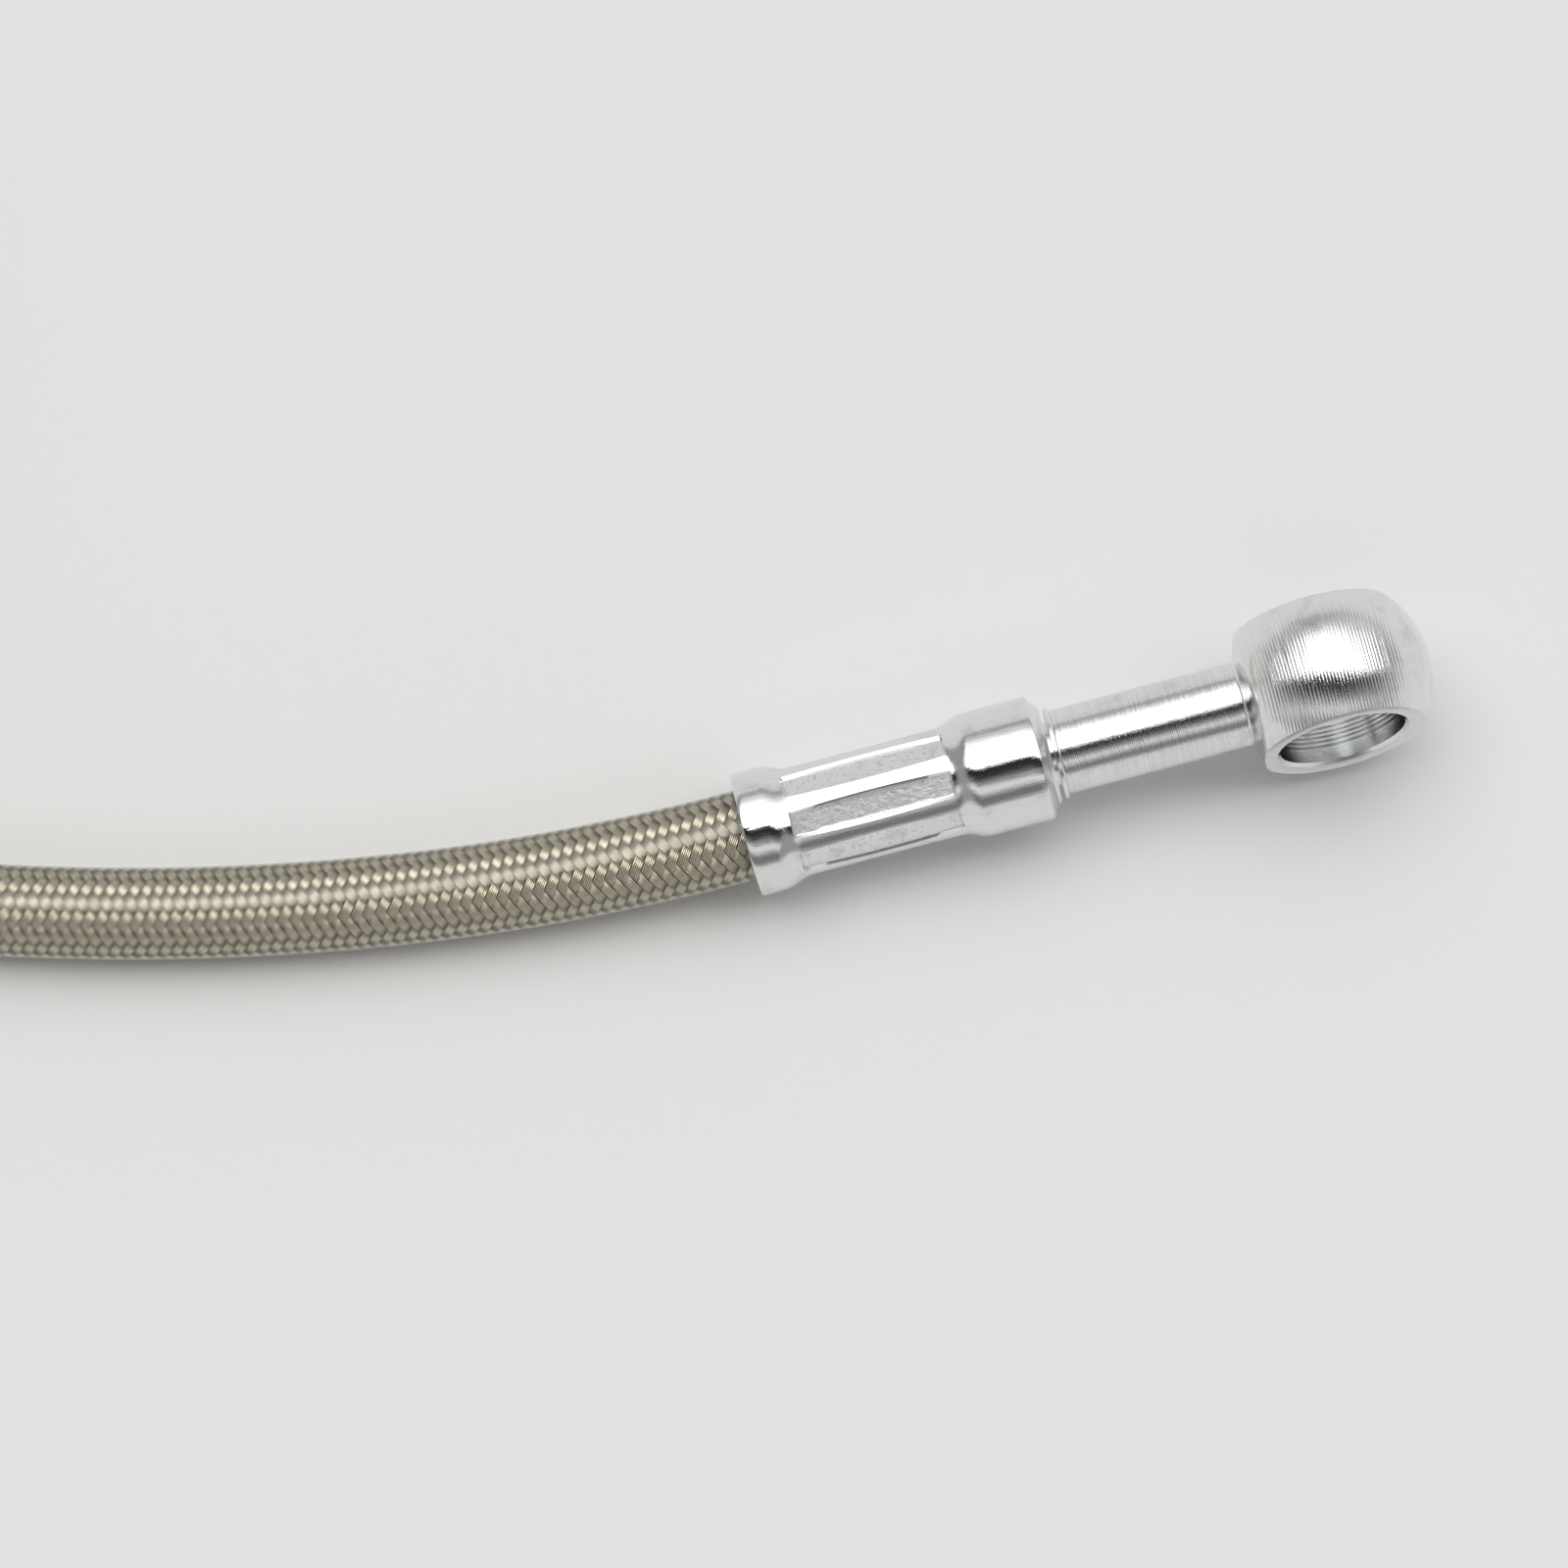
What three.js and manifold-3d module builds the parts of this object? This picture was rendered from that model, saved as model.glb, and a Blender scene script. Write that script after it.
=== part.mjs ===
// Braided brake hose with a turned banjo fitting and a crimped ferrule at each end.
// Millimetres, +Z up. The near fitting points along +X and lies on the ground with the hose
// behind it; the slack of the hose lies in one flat coil held by a tie.

import * as THREE from 'three';
import { mergeVertices } from 'three/addons/utils/BufferGeometryUtils.js';
import Module from 'manifold-3d';

const wasm = await Module();
wasm.setup();

// Banjo eye
const EYE_DIAMETER = 16.7;
const EYE_ACROSS_FLATS = 10.1;
const EYE_BORE = 10.2;
const BORE_CHAMFER = 0.25;

// Stem, neck and shoulder of the banjo fitting
const STEM_DIAMETER = 6.9;
const STEM_LENGTH = 14.9;
const STEM_END_STEP = 0.1;
const NECK_LENGTH = 1.05;
const NECK_TOP_DIAMETER = 11.6;
const NECK_FOOT_PULL = 0.55;
const NECK_TOP_PULL = 0.45;
const NECK_FLARE_SHARE = 0.8;
const SHOULDER_DIAMETER = 7.5;
const SHOULDER_LENGTH = 0.4;

// Nipple inside the hose, and the oil way through the fitting
const NIPPLE_DIAMETER = 3.4;
const NIPPLE_SET_BACK = 1.2;
const BARB_HEIGHT = 0.2;
const BARB_COUNT = 3;
const BARB_LENGTH = 2.4;
const BARB_RISE_LENGTH = 2.04;
const BARB_PITCH = 3.6;
const OIL_WAY = 1.9;
const THROAT_DIAMETER = 5.2;

// Crimped ferrule
const FERRULE_LENGTH = 24.95;
const FERRULE_DIAMETER = 10.1;
const FERRULE_BORE = 6.7;
const FERRULE_END_WALL = 2.5;
const FERRULE_LIP = 0.2;
const MOUTH_RING_LENGTH = 2.05;
const MOUTH_DIAMETER = 8.0;
const MOUTH_DEPTH = 1.6;
const CREST_DIAMETER = 8.92;
const CRIMP_START = 3.8;
const CRIMP_LENGTH = 13.2;
const COLLAR_TAPER = 1.9;
const COLLAR_CHAMFER = 0.85;
const COLLAR_FACE_DIAMETER = 7.9;
const IMPRINT_COUNT = 8;
const IMPRINT_WIDTH = 2.35;
const IMPRINT_FIRST_ANGLE = 21;

// Hose
const HOSE_DIAMETER = 7.36;
const HOSE_BORE = 3.2;

// How the hose lies: the near fitting's roll, the coil and the far end's heading
const NEAR_ROLL = -10.8;
const FAR_ROLL = 90;
const COIL_CENTRE = [-126.1, 70.3];
const COIL_INNER_TURN = 36.7;
const COIL_PITCH = 7.5;
const COIL_SIDES = 72;

// Tie round the two turns
const TIE_AZIMUTH = -160.7;
const TIE_WIDTH = 3.6;
const TIE_THICKNESS = 1.0;
const TIE_CORNER = 2.6;
const TIE_HEAD_SET_IN = 0.2;
const TIE_HEAD = [4.4, 5.2, 5.4];
const TIE_TAIL = [2.2, 2.4, 1.0];

// Clearance between pieces that touch
const CLEARANCE = 0.3;

// Fineness of round shapes
const TURNED_SIDES = 40;
const FERRULE_SIDES = 48;
const HOSE_SIDES = 12;
const HOSE_END_SIDES = 24;
const OIL_WAY_SIDES = 12;
const BALL_STEPS = 13;
const NECK_STEPS = 5;
const ROUNDING_STEPS = 4;
const LEAD_IN_STEPS = 9;
const LEAD_OUT_STEPS = 4;

// How far a cutter reaches past what it cuts
const OVERSHOOT = 2;

// The hose from the near ferrule to the coil; its first point is the ferrule's own mouth
const LEAD_IN_POINTS = [
  [-36.7, 0.2, 4.5],
  [-44.7, 0.7, 4.05],
  [-53.6, 1.7, 3.8],
  [-63.5, 3.3, 3.7],
  [-74.3, 5.6, 3.68],
  [-84.9, 8.5, 3.68],
  [-95.3, 11.9, 3.68],
  [-105.5, 16.0, 3.7],
  [-115.5, 20.6, 3.8],
  [-124.4, 25.3, 4.05],
  [-132.1, 29.8, 4.35],
  [-139.6, 34.8, 4.65],
  [-144.5, 38.2, 4.8],
  [-148.5, 41.2, 4.9],
];

// The hose from the coil to the far ferrule's mouth
const LEAD_OUT_POINTS = [
  [-168.9, 81.5, 4.9],
  [-167.4, 87.3, 4.93],
  [-165.8, 93.3, 4.96],
  [-164.2, 99.4, 5.0],
  [-162.6, 105.6, 5.04],
  [-161.0, 111.8, 5.05],
];

const eyeRadius = EYE_DIAMETER / 2;
const halfFlats = EYE_ACROSS_FLATS / 2;
const stemRadius = STEM_DIAMETER / 2;
const throatRadius = THROAT_DIAMETER / 2;
const ferruleRadius = FERRULE_DIAMETER / 2;
const hoseRadius = HOSE_DIAMETER / 2;

// Places along the fitting's own axis, from the ferrule's mouth at 0 to the eye
const shoulderStart = FERRULE_LENGTH + CLEARANCE;
const stemStart = shoulderStart + SHOULDER_LENGTH;
const neckStart = stemStart + STEM_LENGTH;
const neckTop = neckStart + NECK_LENGTH;
const neckTopRadius = NECK_TOP_DIAMETER / 2;
const eyeCentre = neckTop + Math.sqrt(eyeRadius ** 2 - neckTopRadius ** 2);
const throatStart = FERRULE_LENGTH - FERRULE_END_WALL - CLEARANCE;

const radians = THREE.MathUtils.degToRad;

// Turn a closed three.js geometry into a solid that can be joined and cut
function toSolid(geometry) {
  const bare = geometry.clone();
  bare.deleteAttribute('normal');
  bare.deleteAttribute('uv');
  const merged = mergeVertices(bare, 1e-4);
  return new wasm.Manifold(new wasm.Mesh({
    numProp: 3,
    vertProperties: new Float32Array(merged.attributes.position.array),
    triVerts: new Uint32Array(merged.index.array),
  }));
}

// Turn a solid back into a three.js geometry
function toGeometry(solid) {
  const mesh = solid.getMesh();
  const geometry = new THREE.BufferGeometry();
  geometry.setAttribute('position', new THREE.BufferAttribute(new Float32Array(mesh.vertProperties), 3));
  geometry.setIndex(new THREE.BufferAttribute(new Uint32Array(mesh.triVerts), 1));
  geometry.computeVertexNormals();
  return geometry;
}

// Revolve [place along X, radius] points about the X axis
function turned(points, sides) {
  const profile = points.map(([along, radius]) => new THREE.Vector2(radius, along));
  const geometry = new THREE.LatheGeometry(profile, sides);
  geometry.rotateZ(-Math.PI / 2);
  return geometry;
}

// Sawtooth rings on the nipple, each rising towards the fitting and dropping behind its edge
function barbPoints() {
  const radius = NIPPLE_DIAMETER / 2;
  const points = [];
  for (let i = 0; i < BARB_COUNT; i += 1) {
    const start = NIPPLE_SET_BACK + BARB_LENGTH + i * BARB_PITCH;
    points.push([start, radius]);
    points.push([start + BARB_RISE_LENGTH, radius + BARB_HEIGHT]);
    points.push([start + BARB_LENGTH, radius]);
  }
  return points;
}

// The neck flares from the stem's end up to the ball
function neckPoints() {
  const foot = stemRadius - STEM_END_STEP;
  const flare = new THREE.CubicBezierCurve(
    new THREE.Vector2(neckStart, foot),
    new THREE.Vector2(neckStart + NECK_FOOT_PULL * NECK_LENGTH, foot),
    new THREE.Vector2(neckStart + NECK_TOP_PULL * NECK_LENGTH, foot + NECK_FLARE_SHARE * (neckTopRadius - foot)),
    new THREE.Vector2(neckTop, neckTopRadius),
  );
  return flare.getPoints(NECK_STEPS).map((point) => [point.x, point.y]);
}

// The ball from the top of the neck round to its far pole
function ballPoints() {
  const start = Math.PI - Math.asin(neckTopRadius / eyeRadius);
  const points = [];
  for (let i = 1; i <= BALL_STEPS; i += 1) {
    const angle = start * (1 - i / BALL_STEPS);
    points.push([eyeCentre + eyeRadius * Math.cos(angle), i === BALL_STEPS ? 0 : eyeRadius * Math.sin(angle)]);
  }
  return points;
}

// The cross bore with a small chamfer at each washer face, along Y at the eye's centre
function boreCutter() {
  const radius = EYE_BORE / 2;
  const reach = halfFlats + OVERSHOOT;
  const flare = radius + BORE_CHAMFER + OVERSHOOT;
  const cutter = turned([
    [-reach, 0],
    [-reach, flare],
    [-halfFlats + BORE_CHAMFER, radius],
    [halfFlats - BORE_CHAMFER, radius],
    [reach, flare],
    [reach, 0],
  ], TURNED_SIDES);
  cutter.rotateZ(Math.PI / 2);
  cutter.translate(eyeCentre, 0, 0);
  return cutter;
}

// One banjo fitting: nipple, throat, shoulder, stem, neck and ball, then flats, bore and oil way
function banjoGeometry() {
  let solid = toSolid(turned([
    [NIPPLE_SET_BACK, 0],
    [NIPPLE_SET_BACK, NIPPLE_DIAMETER / 2 - BARB_HEIGHT],
    [NIPPLE_SET_BACK + BARB_HEIGHT, NIPPLE_DIAMETER / 2],
    ...barbPoints(),
    [throatStart, NIPPLE_DIAMETER / 2],
    [throatStart + CLEARANCE, throatRadius],
    [shoulderStart, throatRadius],
    [shoulderStart, SHOULDER_DIAMETER / 2],
    [stemStart, SHOULDER_DIAMETER / 2],
    [stemStart, stemRadius],
    [neckStart, stemRadius],
    ...neckPoints(),
    ...ballPoints(),
  ], TURNED_SIDES));
  const slab = 2 * EYE_DIAMETER;
  [-1, 1].forEach((side) => {
    const flat = new THREE.BoxGeometry(slab, slab, slab);
    flat.translate(eyeCentre, side * (halfFlats + slab / 2), 0);
    solid = solid.subtract(toSolid(flat));
  });
  solid = solid.subtract(toSolid(boreCutter()));
  const oilWay = turned([[0, 0], [0, OIL_WAY / 2], [eyeCentre, OIL_WAY / 2], [eyeCentre, 0]], OIL_WAY_SIDES);
  return toGeometry(solid.subtract(toSolid(oilWay)));
}

// One ferrule: a turned sleeve with a mouth ring, crimped middle and collar, pressed in by the dies
function ferruleGeometry() {
  const crest = CREST_DIAMETER / 2;
  const crimpEnd = CRIMP_START + CRIMP_LENGTH;
  const collarEnd = FERRULE_LENGTH - COLLAR_CHAMFER;
  let solid = toSolid(turned([
    [0, MOUTH_DIAMETER / 2],
    [0, ferruleRadius - FERRULE_LIP],
    [FERRULE_LIP, ferruleRadius],
    [MOUTH_RING_LENGTH, ferruleRadius],
    [CRIMP_START, crest],
    [crimpEnd, crest],
    [crimpEnd + COLLAR_TAPER, ferruleRadius],
    [collarEnd, ferruleRadius],
    [FERRULE_LENGTH, COLLAR_FACE_DIAMETER / 2],
    [FERRULE_LENGTH, throatRadius + CLEARANCE],
    [FERRULE_LENGTH - FERRULE_END_WALL, throatRadius + CLEARANCE],
    [FERRULE_LENGTH - FERRULE_END_WALL, FERRULE_BORE / 2],
    [MOUTH_DEPTH + CLEARANCE, FERRULE_BORE / 2],
    [MOUTH_DEPTH, MOUTH_DIAMETER / 2],
    [0, MOUTH_DIAMETER / 2],
  ], FERRULE_SIDES));
  const flatDistance = Math.sqrt(crest ** 2 - (IMPRINT_WIDTH / 2) ** 2);
  const depth = FERRULE_DIAMETER;
  for (let i = 0; i < IMPRINT_COUNT; i += 1) {
    const die = new THREE.BoxGeometry(CRIMP_LENGTH, depth, IMPRINT_WIDTH);
    die.translate(CRIMP_START + CRIMP_LENGTH / 2, flatDistance + depth / 2, 0);
    die.rotateX(radians(IMPRINT_FIRST_ANGLE + (360 / IMPRINT_COUNT) * i));
    solid = solid.subtract(toSolid(die));
  }
  return toGeometry(solid);
}

const finishes = {
  fitting: { color: 0xd3d6d8, roughness: 0.28, metalness: 1 },
  ferrule: { color: 0xcfd3d4, roughness: 0.24, metalness: 1 },
  hose: { color: 0xa9aa9c, roughness: 0.35, metalness: 0.8 },
  tie: { color: 0x1d1e20, roughness: 0.45, metalness: 0 },
};

function namedMesh(name, geometry, finish) {
  const mesh = new THREE.Mesh(geometry, new THREE.MeshStandardMaterial(finishes[finish]));
  mesh.name = name;
  return mesh;
}

// A fitting and its ferrule in a group that turns them together about their own axis
function endAssembly(banjoName, ferruleName, roll) {
  const rolled = new THREE.Group();
  rolled.add(namedMesh(banjoName, banjoGeometry(), 'fitting'));
  rolled.add(namedMesh(ferruleName, ferruleGeometry(), 'ferrule'));
  rolled.rotation.x = radians(roll);
  const assembly = new THREE.Group();
  assembly.add(rolled);
  return assembly;
}

// The near end rests on its ball and on the ferrule's rim, centred on the origin
function nearEnd() {
  const assembly = endAssembly('banjo_fitting', 'crimp_ferrule', NEAR_ROLL);
  assembly.rotation.y = -Math.asin((eyeRadius - ferruleRadius) / eyeCentre);
  assembly.updateMatrixWorld(true);
  const box = new THREE.Box3().setFromObject(assembly, true);
  const centre = box.getCenter(new THREE.Vector3());
  assembly.position.set(-centre.x, -centre.y, -box.min.z);
  assembly.updateMatrixWorld(true);
  return assembly;
}

// The far end lies flat on a washer face, in line with the last of the hose
function farEnd() {
  const points = LEAD_OUT_POINTS.map((point) => new THREE.Vector3(...point));
  const last = points[points.length - 1];
  const heading = last.clone().sub(points[0]).setZ(0).normalize();
  const assembly = endAssembly('far_banjo_fitting', 'far_crimp_ferrule', FAR_ROLL);
  assembly.rotation.z = Math.atan2(heading.y, heading.x);
  assembly.position.copy(last).addScaledVector(heading, CLEARANCE);
  assembly.position.z = Math.max(halfFlats, ferruleRadius);
  assembly.updateMatrixWorld(true);
  return assembly;
}

// The flat shape of a ring, for the hose wall and for the hose's end inside a ferrule
function ringShape(outer, inner, sides) {
  const corner = (radius, i) => {
    const angle = (2 * Math.PI * i) / sides;
    return new THREE.Vector2(radius * Math.cos(angle), radius * Math.sin(angle));
  };
  const indices = [...Array(sides).keys()];
  const shape = new THREE.Shape(indices.map((i) => corner(outer, i)));
  shape.holes.push(new THREE.Path(indices.map((i) => corner(inner, i)).reverse()));
  return shape;
}

// The hose wall along a smooth curve through the points
function hoseAlong(points, steps) {
  const path = new THREE.CatmullRomCurve3(points, false, 'centripetal');
  const section = ringShape(hoseRadius, HOSE_BORE / 2, HOSE_SIDES);
  return toSolid(new THREE.ExtrudeGeometry(section, { steps, extrudePath: path, bevelEnabled: false }));
}

// The thinner end of the hose between the nipple and the ferrule, in the fitting's own frame
function hoseEnd(assembly) {
  const outer = FERRULE_BORE / 2 - CLEARANCE;
  const inner = NIPPLE_DIAMETER / 2 + BARB_HEIGHT + CLEARANCE;
  const start = -CLEARANCE - hoseRadius / 2;
  const end = throatStart - CLEARANCE;
  const corners = [[start, outer], [end, outer], [end, inner], [start, inner], [start, outer]];
  const geometry = turned(corners, HOSE_END_SIDES);
  geometry.applyMatrix4(assembly.matrixWorld);
  return toSolid(geometry);
}

// The coil's turns lie side by side; the ring stands on its far edge and is lifted where the tie passes under
const coilMiddle = COIL_INNER_TURN + COIL_PITCH / 2;
const coilHalfWidth = COIL_PITCH / 2 + hoseRadius;
const tieLift = TIE_THICKNESS + CLEARANCE;
const coilTilt = Math.asin(tieLift / (2 * (coilMiddle + coilHalfWidth)));

// Lift of the tilted coil at its centre
const coilCentreLift = tieLift / 2;

function placeOnCoil(object) {
  const tilted = new THREE.Group();
  tilted.add(object);
  tilted.rotation.y = -coilTilt;
  const placed = new THREE.Group();
  placed.add(tilted);
  placed.rotation.z = radians(TIE_AZIMUTH);
  placed.position.set(COIL_CENTRE[0], COIL_CENTRE[1], coilCentreLift);
  return placed;
}

// Outer shape of the coil: a ring with rounded sides
function coilGeometry() {
  const points = [];
  [1, -1].forEach((side) => {
    for (let i = 0; i <= ROUNDING_STEPS; i += 1) {
      const angle = (Math.PI * i) / ROUNDING_STEPS;
      const across = side * (COIL_PITCH / 2 + hoseRadius * Math.sin(angle));
      points.push(new THREE.Vector2(coilMiddle + across, hoseRadius - side * hoseRadius * Math.cos(angle)));
    }
  });
  points.push(points[0].clone());
  const geometry = new THREE.LatheGeometry(points, COIL_SIDES);
  geometry.rotateX(Math.PI / 2);
  return geometry;
}

// Round column standing where the coil lies, to shape the ends of the hose that meet it
function coilColumn() {
  const radius = coilMiddle + coilHalfWidth + CLEARANCE;
  const column = new THREE.CylinderGeometry(radius, radius, 8 * hoseRadius, COIL_SIDES);
  column.rotateX(Math.PI / 2);
  column.translate(COIL_CENTRE[0], COIL_CENTRE[1], hoseRadius);
  return toSolid(column);
}

// Cable tie round both turns: a closed strap with its square head and cut tail on the outer side
function tieGeometry() {
  const halfInner = coilHalfWidth + CLEARANCE;
  const halfOuter = halfInner + TIE_THICKNESS;
  const bottom = TIE_THICKNESS;
  const top = tieLift + HOSE_DIAMETER + CLEARANCE;
  const rectangle = (half, low, high, corner) => {
    const outline = new THREE.Shape();
    outline.moveTo(-half + corner, low);
    outline.lineTo(half - corner, low);
    outline.absarc(half - corner, low + corner, corner, -Math.PI / 2, 0);
    outline.lineTo(half, high - corner);
    outline.absarc(half - corner, high - corner, corner, 0, Math.PI / 2);
    outline.lineTo(-half + corner, high);
    outline.absarc(-half + corner, high - corner, corner, Math.PI / 2, Math.PI);
    outline.lineTo(-half, low + corner);
    outline.absarc(-half + corner, low + corner, corner, Math.PI, 1.5 * Math.PI);
    return outline;
  };
  const strap = rectangle(halfOuter, 0, top + TIE_THICKNESS, TIE_CORNER + TIE_THICKNESS);
  strap.holes.push(rectangle(halfInner, bottom, top, TIE_CORNER));
  const extrusion = { depth: TIE_WIDTH, bevelEnabled: false, curveSegments: ROUNDING_STEPS };
  const loop = new THREE.ExtrudeGeometry(strap, extrusion);
  loop.rotateX(Math.PI / 2);
  loop.translate(0, TIE_WIDTH / 2, 0);
  const head = new THREE.BoxGeometry(...TIE_HEAD);
  const headMiddle = (top + TIE_THICKNESS) / 2;
  head.translate(halfInner + TIE_HEAD_SET_IN + TIE_HEAD[0] / 2, 0, headMiddle);
  const tail = new THREE.BoxGeometry(...TIE_TAIL);
  tail.translate(halfInner + TIE_HEAD[0] + TIE_TAIL[0] / 2, 0, headMiddle);
  const geometry = toGeometry(toSolid(loop).add(toSolid(head)).add(toSolid(tail)));
  geometry.rotateZ(radians(TIE_AZIMUTH));
  const azimuth = radians(TIE_AZIMUTH);
  geometry.translate(
    COIL_CENTRE[0] + coilMiddle * Math.cos(azimuth),
    COIL_CENTRE[1] + coilMiddle * Math.sin(azimuth),
    0,
  );
  return geometry;
}

const group = new THREE.Group();

const near = nearEnd();
group.add(near);
const far = farEnd();
group.add(far);

const nearMouth = near.localToWorld(new THREE.Vector3(-CLEARANCE, 0, 0));
const nearStraight = near.localToWorld(new THREE.Vector3(-CLEARANCE - hoseRadius, 0, 0));
const leadInPoints = [nearMouth, nearStraight, ...LEAD_IN_POINTS.map((point) => new THREE.Vector3(...point))];
const column = coilColumn();
const leadIn = hoseAlong(leadInPoints, LEAD_IN_STEPS).add(hoseEnd(near)).subtract(column);
group.add(namedMesh('hose_lead_in', toGeometry(leadIn), 'hose'));

const farMouth = far.localToWorld(new THREE.Vector3(-CLEARANCE, 0, 0));
const farStraight = far.localToWorld(new THREE.Vector3(-CLEARANCE - hoseRadius, 0, 0));
const leadOutMiddle = LEAD_OUT_POINTS.slice(0, -1).map((point) => new THREE.Vector3(...point));
const leadOut = hoseAlong([...leadOutMiddle, farStraight, farMouth], LEAD_OUT_STEPS)
  .add(hoseEnd(far))
  .subtract(column);
group.add(namedMesh('hose_lead_out', toGeometry(leadOut), 'hose'));

group.add(placeOnCoil(namedMesh('hose_coil', coilGeometry(), 'hose')));
group.add(namedMesh('coil_tie', tieGeometry(), 'tie'));

export default group;
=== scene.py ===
"""Dresses the braided brake hose: its two turned fittings, crimped ferrules, braid and clear cover."""

import logging
import math
from dataclasses import dataclass, field
from enum import Enum
from typing import Any

import bmesh
import bpy
import numpy as np
from mathutils import Matrix


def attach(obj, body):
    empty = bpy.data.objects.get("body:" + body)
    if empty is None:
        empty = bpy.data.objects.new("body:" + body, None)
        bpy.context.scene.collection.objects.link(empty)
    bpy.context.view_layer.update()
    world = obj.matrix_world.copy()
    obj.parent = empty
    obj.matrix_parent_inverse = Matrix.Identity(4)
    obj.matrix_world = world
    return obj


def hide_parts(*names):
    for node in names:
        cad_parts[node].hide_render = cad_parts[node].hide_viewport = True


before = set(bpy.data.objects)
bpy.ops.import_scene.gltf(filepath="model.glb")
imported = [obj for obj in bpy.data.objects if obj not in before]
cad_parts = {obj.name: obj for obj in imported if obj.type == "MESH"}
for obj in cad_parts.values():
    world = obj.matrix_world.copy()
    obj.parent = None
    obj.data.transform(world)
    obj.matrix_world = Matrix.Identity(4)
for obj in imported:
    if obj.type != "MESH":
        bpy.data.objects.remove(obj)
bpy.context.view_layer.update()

log = logging.getLogger("brake_hose")

MM = 0.001
FULL_TURN = 2 * math.pi
TINY = 1e-6


# Meshes from arrays


@dataclass
class Surface:
    """Vertices in metres, and faces in groups that each hold faces with one number of corners."""

    vertices: np.ndarray
    faces: list[np.ndarray]
    corner_uv: list[np.ndarray]

    def moved(self, placement: "Placement") -> "Surface":
        """The same surface carried from a fitting's own frame into the row frame."""
        return Surface(placement.carry(self.vertices), self.faces, self.corner_uv)


def grid(
    points: np.ndarray,
    closed_u: bool = False,
    closed_v: bool = False,
    uv: np.ndarray | None = None,
    flip: bool = False,
) -> Surface:
    """A surface over a grid of points: each cell of four neighbouring points is one face.

    Args:
        points: rows along u, columns along v, three numbers each, in metres.
        closed_u: joins the last row to the first.
        closed_v: joins the last column to the first.
        uv: a map point for each grid corner, with one row or column more where the grid is closed.
        flip: turns the faces to the other side.

    Returns:
        The surface. Its faces point along the cross product of u and v.
    """
    rows, columns = points.shape[:2]
    cells_u = rows if closed_u else rows - 1
    cells_v = columns if closed_v else columns - 1
    i, j = np.meshgrid(np.arange(cells_u), np.arange(cells_v), indexing="ij")
    next_i, next_j = (i + 1) % rows, (j + 1) % columns
    faces = np.stack(
        [i * columns + j, next_i * columns + j, next_i * columns + next_j, i * columns + next_j],
        axis=-1,
    ).reshape(-1, 4)
    if uv is None:
        u, v = np.meshgrid(np.arange(cells_u + 1), np.arange(cells_v + 1), indexing="ij")
        uv = np.stack([u / cells_u, v / cells_v], axis=-1)
    corners = np.stack([uv[i, j], uv[i + 1, j], uv[i + 1, j + 1], uv[i, j + 1]], axis=2)
    corners = corners.reshape(-1, 4, 2)
    if flip:
        faces, corners = faces[:, ::-1], corners[:, ::-1]
    return Surface(points.reshape(-1, 3), [faces], [corners])


def joined(surfaces: list[Surface]) -> Surface:
    """Several surfaces as one, each with its own vertices."""
    starts = np.cumsum([0] + [len(s.vertices) for s in surfaces])
    return Surface(
        np.concatenate([s.vertices for s in surfaces]),
        [group + start for s, start in zip(surfaces, starts) for group in s.faces],
        [group for s in surfaces for group in s.corner_uv],
    )


def make_object(name: str, surface: Surface, sharp_deg: float = 40.0) -> bpy.types.Object:
    """Puts a surface into a new mesh object, smooth except where its faces meet at a sharp angle.

    Args:
        name: the object's name.
        surface: what it shows.
        sharp_deg: the angle from which an edge stays sharp.

    Returns:
        The object, at the origin of the row frame.
    """
    mesh = bpy.data.meshes.new(name)
    counts = np.concatenate([np.full(len(g), g.shape[1]) for g in surface.faces])
    loops = np.concatenate([g.ravel() for g in surface.faces]).astype(np.int32)
    mesh.vertices.add(len(surface.vertices))
    mesh.vertices.foreach_set("co", surface.vertices.astype(np.float32).ravel())
    mesh.loops.add(len(loops))
    mesh.loops.foreach_set("vertex_index", loops)
    mesh.polygons.add(len(counts))
    starts = np.concatenate([[0], np.cumsum(counts)[:-1]]).astype(np.int32)
    mesh.polygons.foreach_set("loop_start", starts)
    layer = mesh.uv_layers.new(name="UVMap")
    uv = np.concatenate([g.reshape(-1, 2) for g in surface.corner_uv]).astype(np.float32)
    layer.data.foreach_set("uv", uv.ravel())
    mesh.update(calc_edges=True)
    mesh.validate()
    mesh.shade_smooth()
    mesh.set_sharp_from_angle(angle=math.radians(sharp_deg))
    made = bpy.data.objects.new(name, mesh)
    bpy.context.scene.collection.objects.link(made)
    return made


def set_values(piece: bpy.types.Object, name: str, values: np.ndarray) -> None:
    """Gives each vertex of a piece one number that its material can read."""
    attribute = piece.data.attributes.new(name, "FLOAT", "POINT")
    attribute.data.foreach_set("value", values.astype(np.float32).ravel())


def merge_doubles(piece: bpy.types.Object, distance_mm: float = 0.0005) -> None:
    """Joins vertices that lie on each other, which closes poles and seams."""
    work = bmesh.new()
    work.from_mesh(piece.data)
    bmesh.ops.remove_doubles(work, verts=work.verts, dist=distance_mm * MM)
    work.to_mesh(piece.data)
    work.free()


def enter(piece: bpy.types.Object) -> bpy.types.Object:
    """Gives a new piece its body, and reports it."""
    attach(piece, "root")
    log.info("%s: %d faces", piece.name, len(piece.data.polygons))
    return piece


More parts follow.
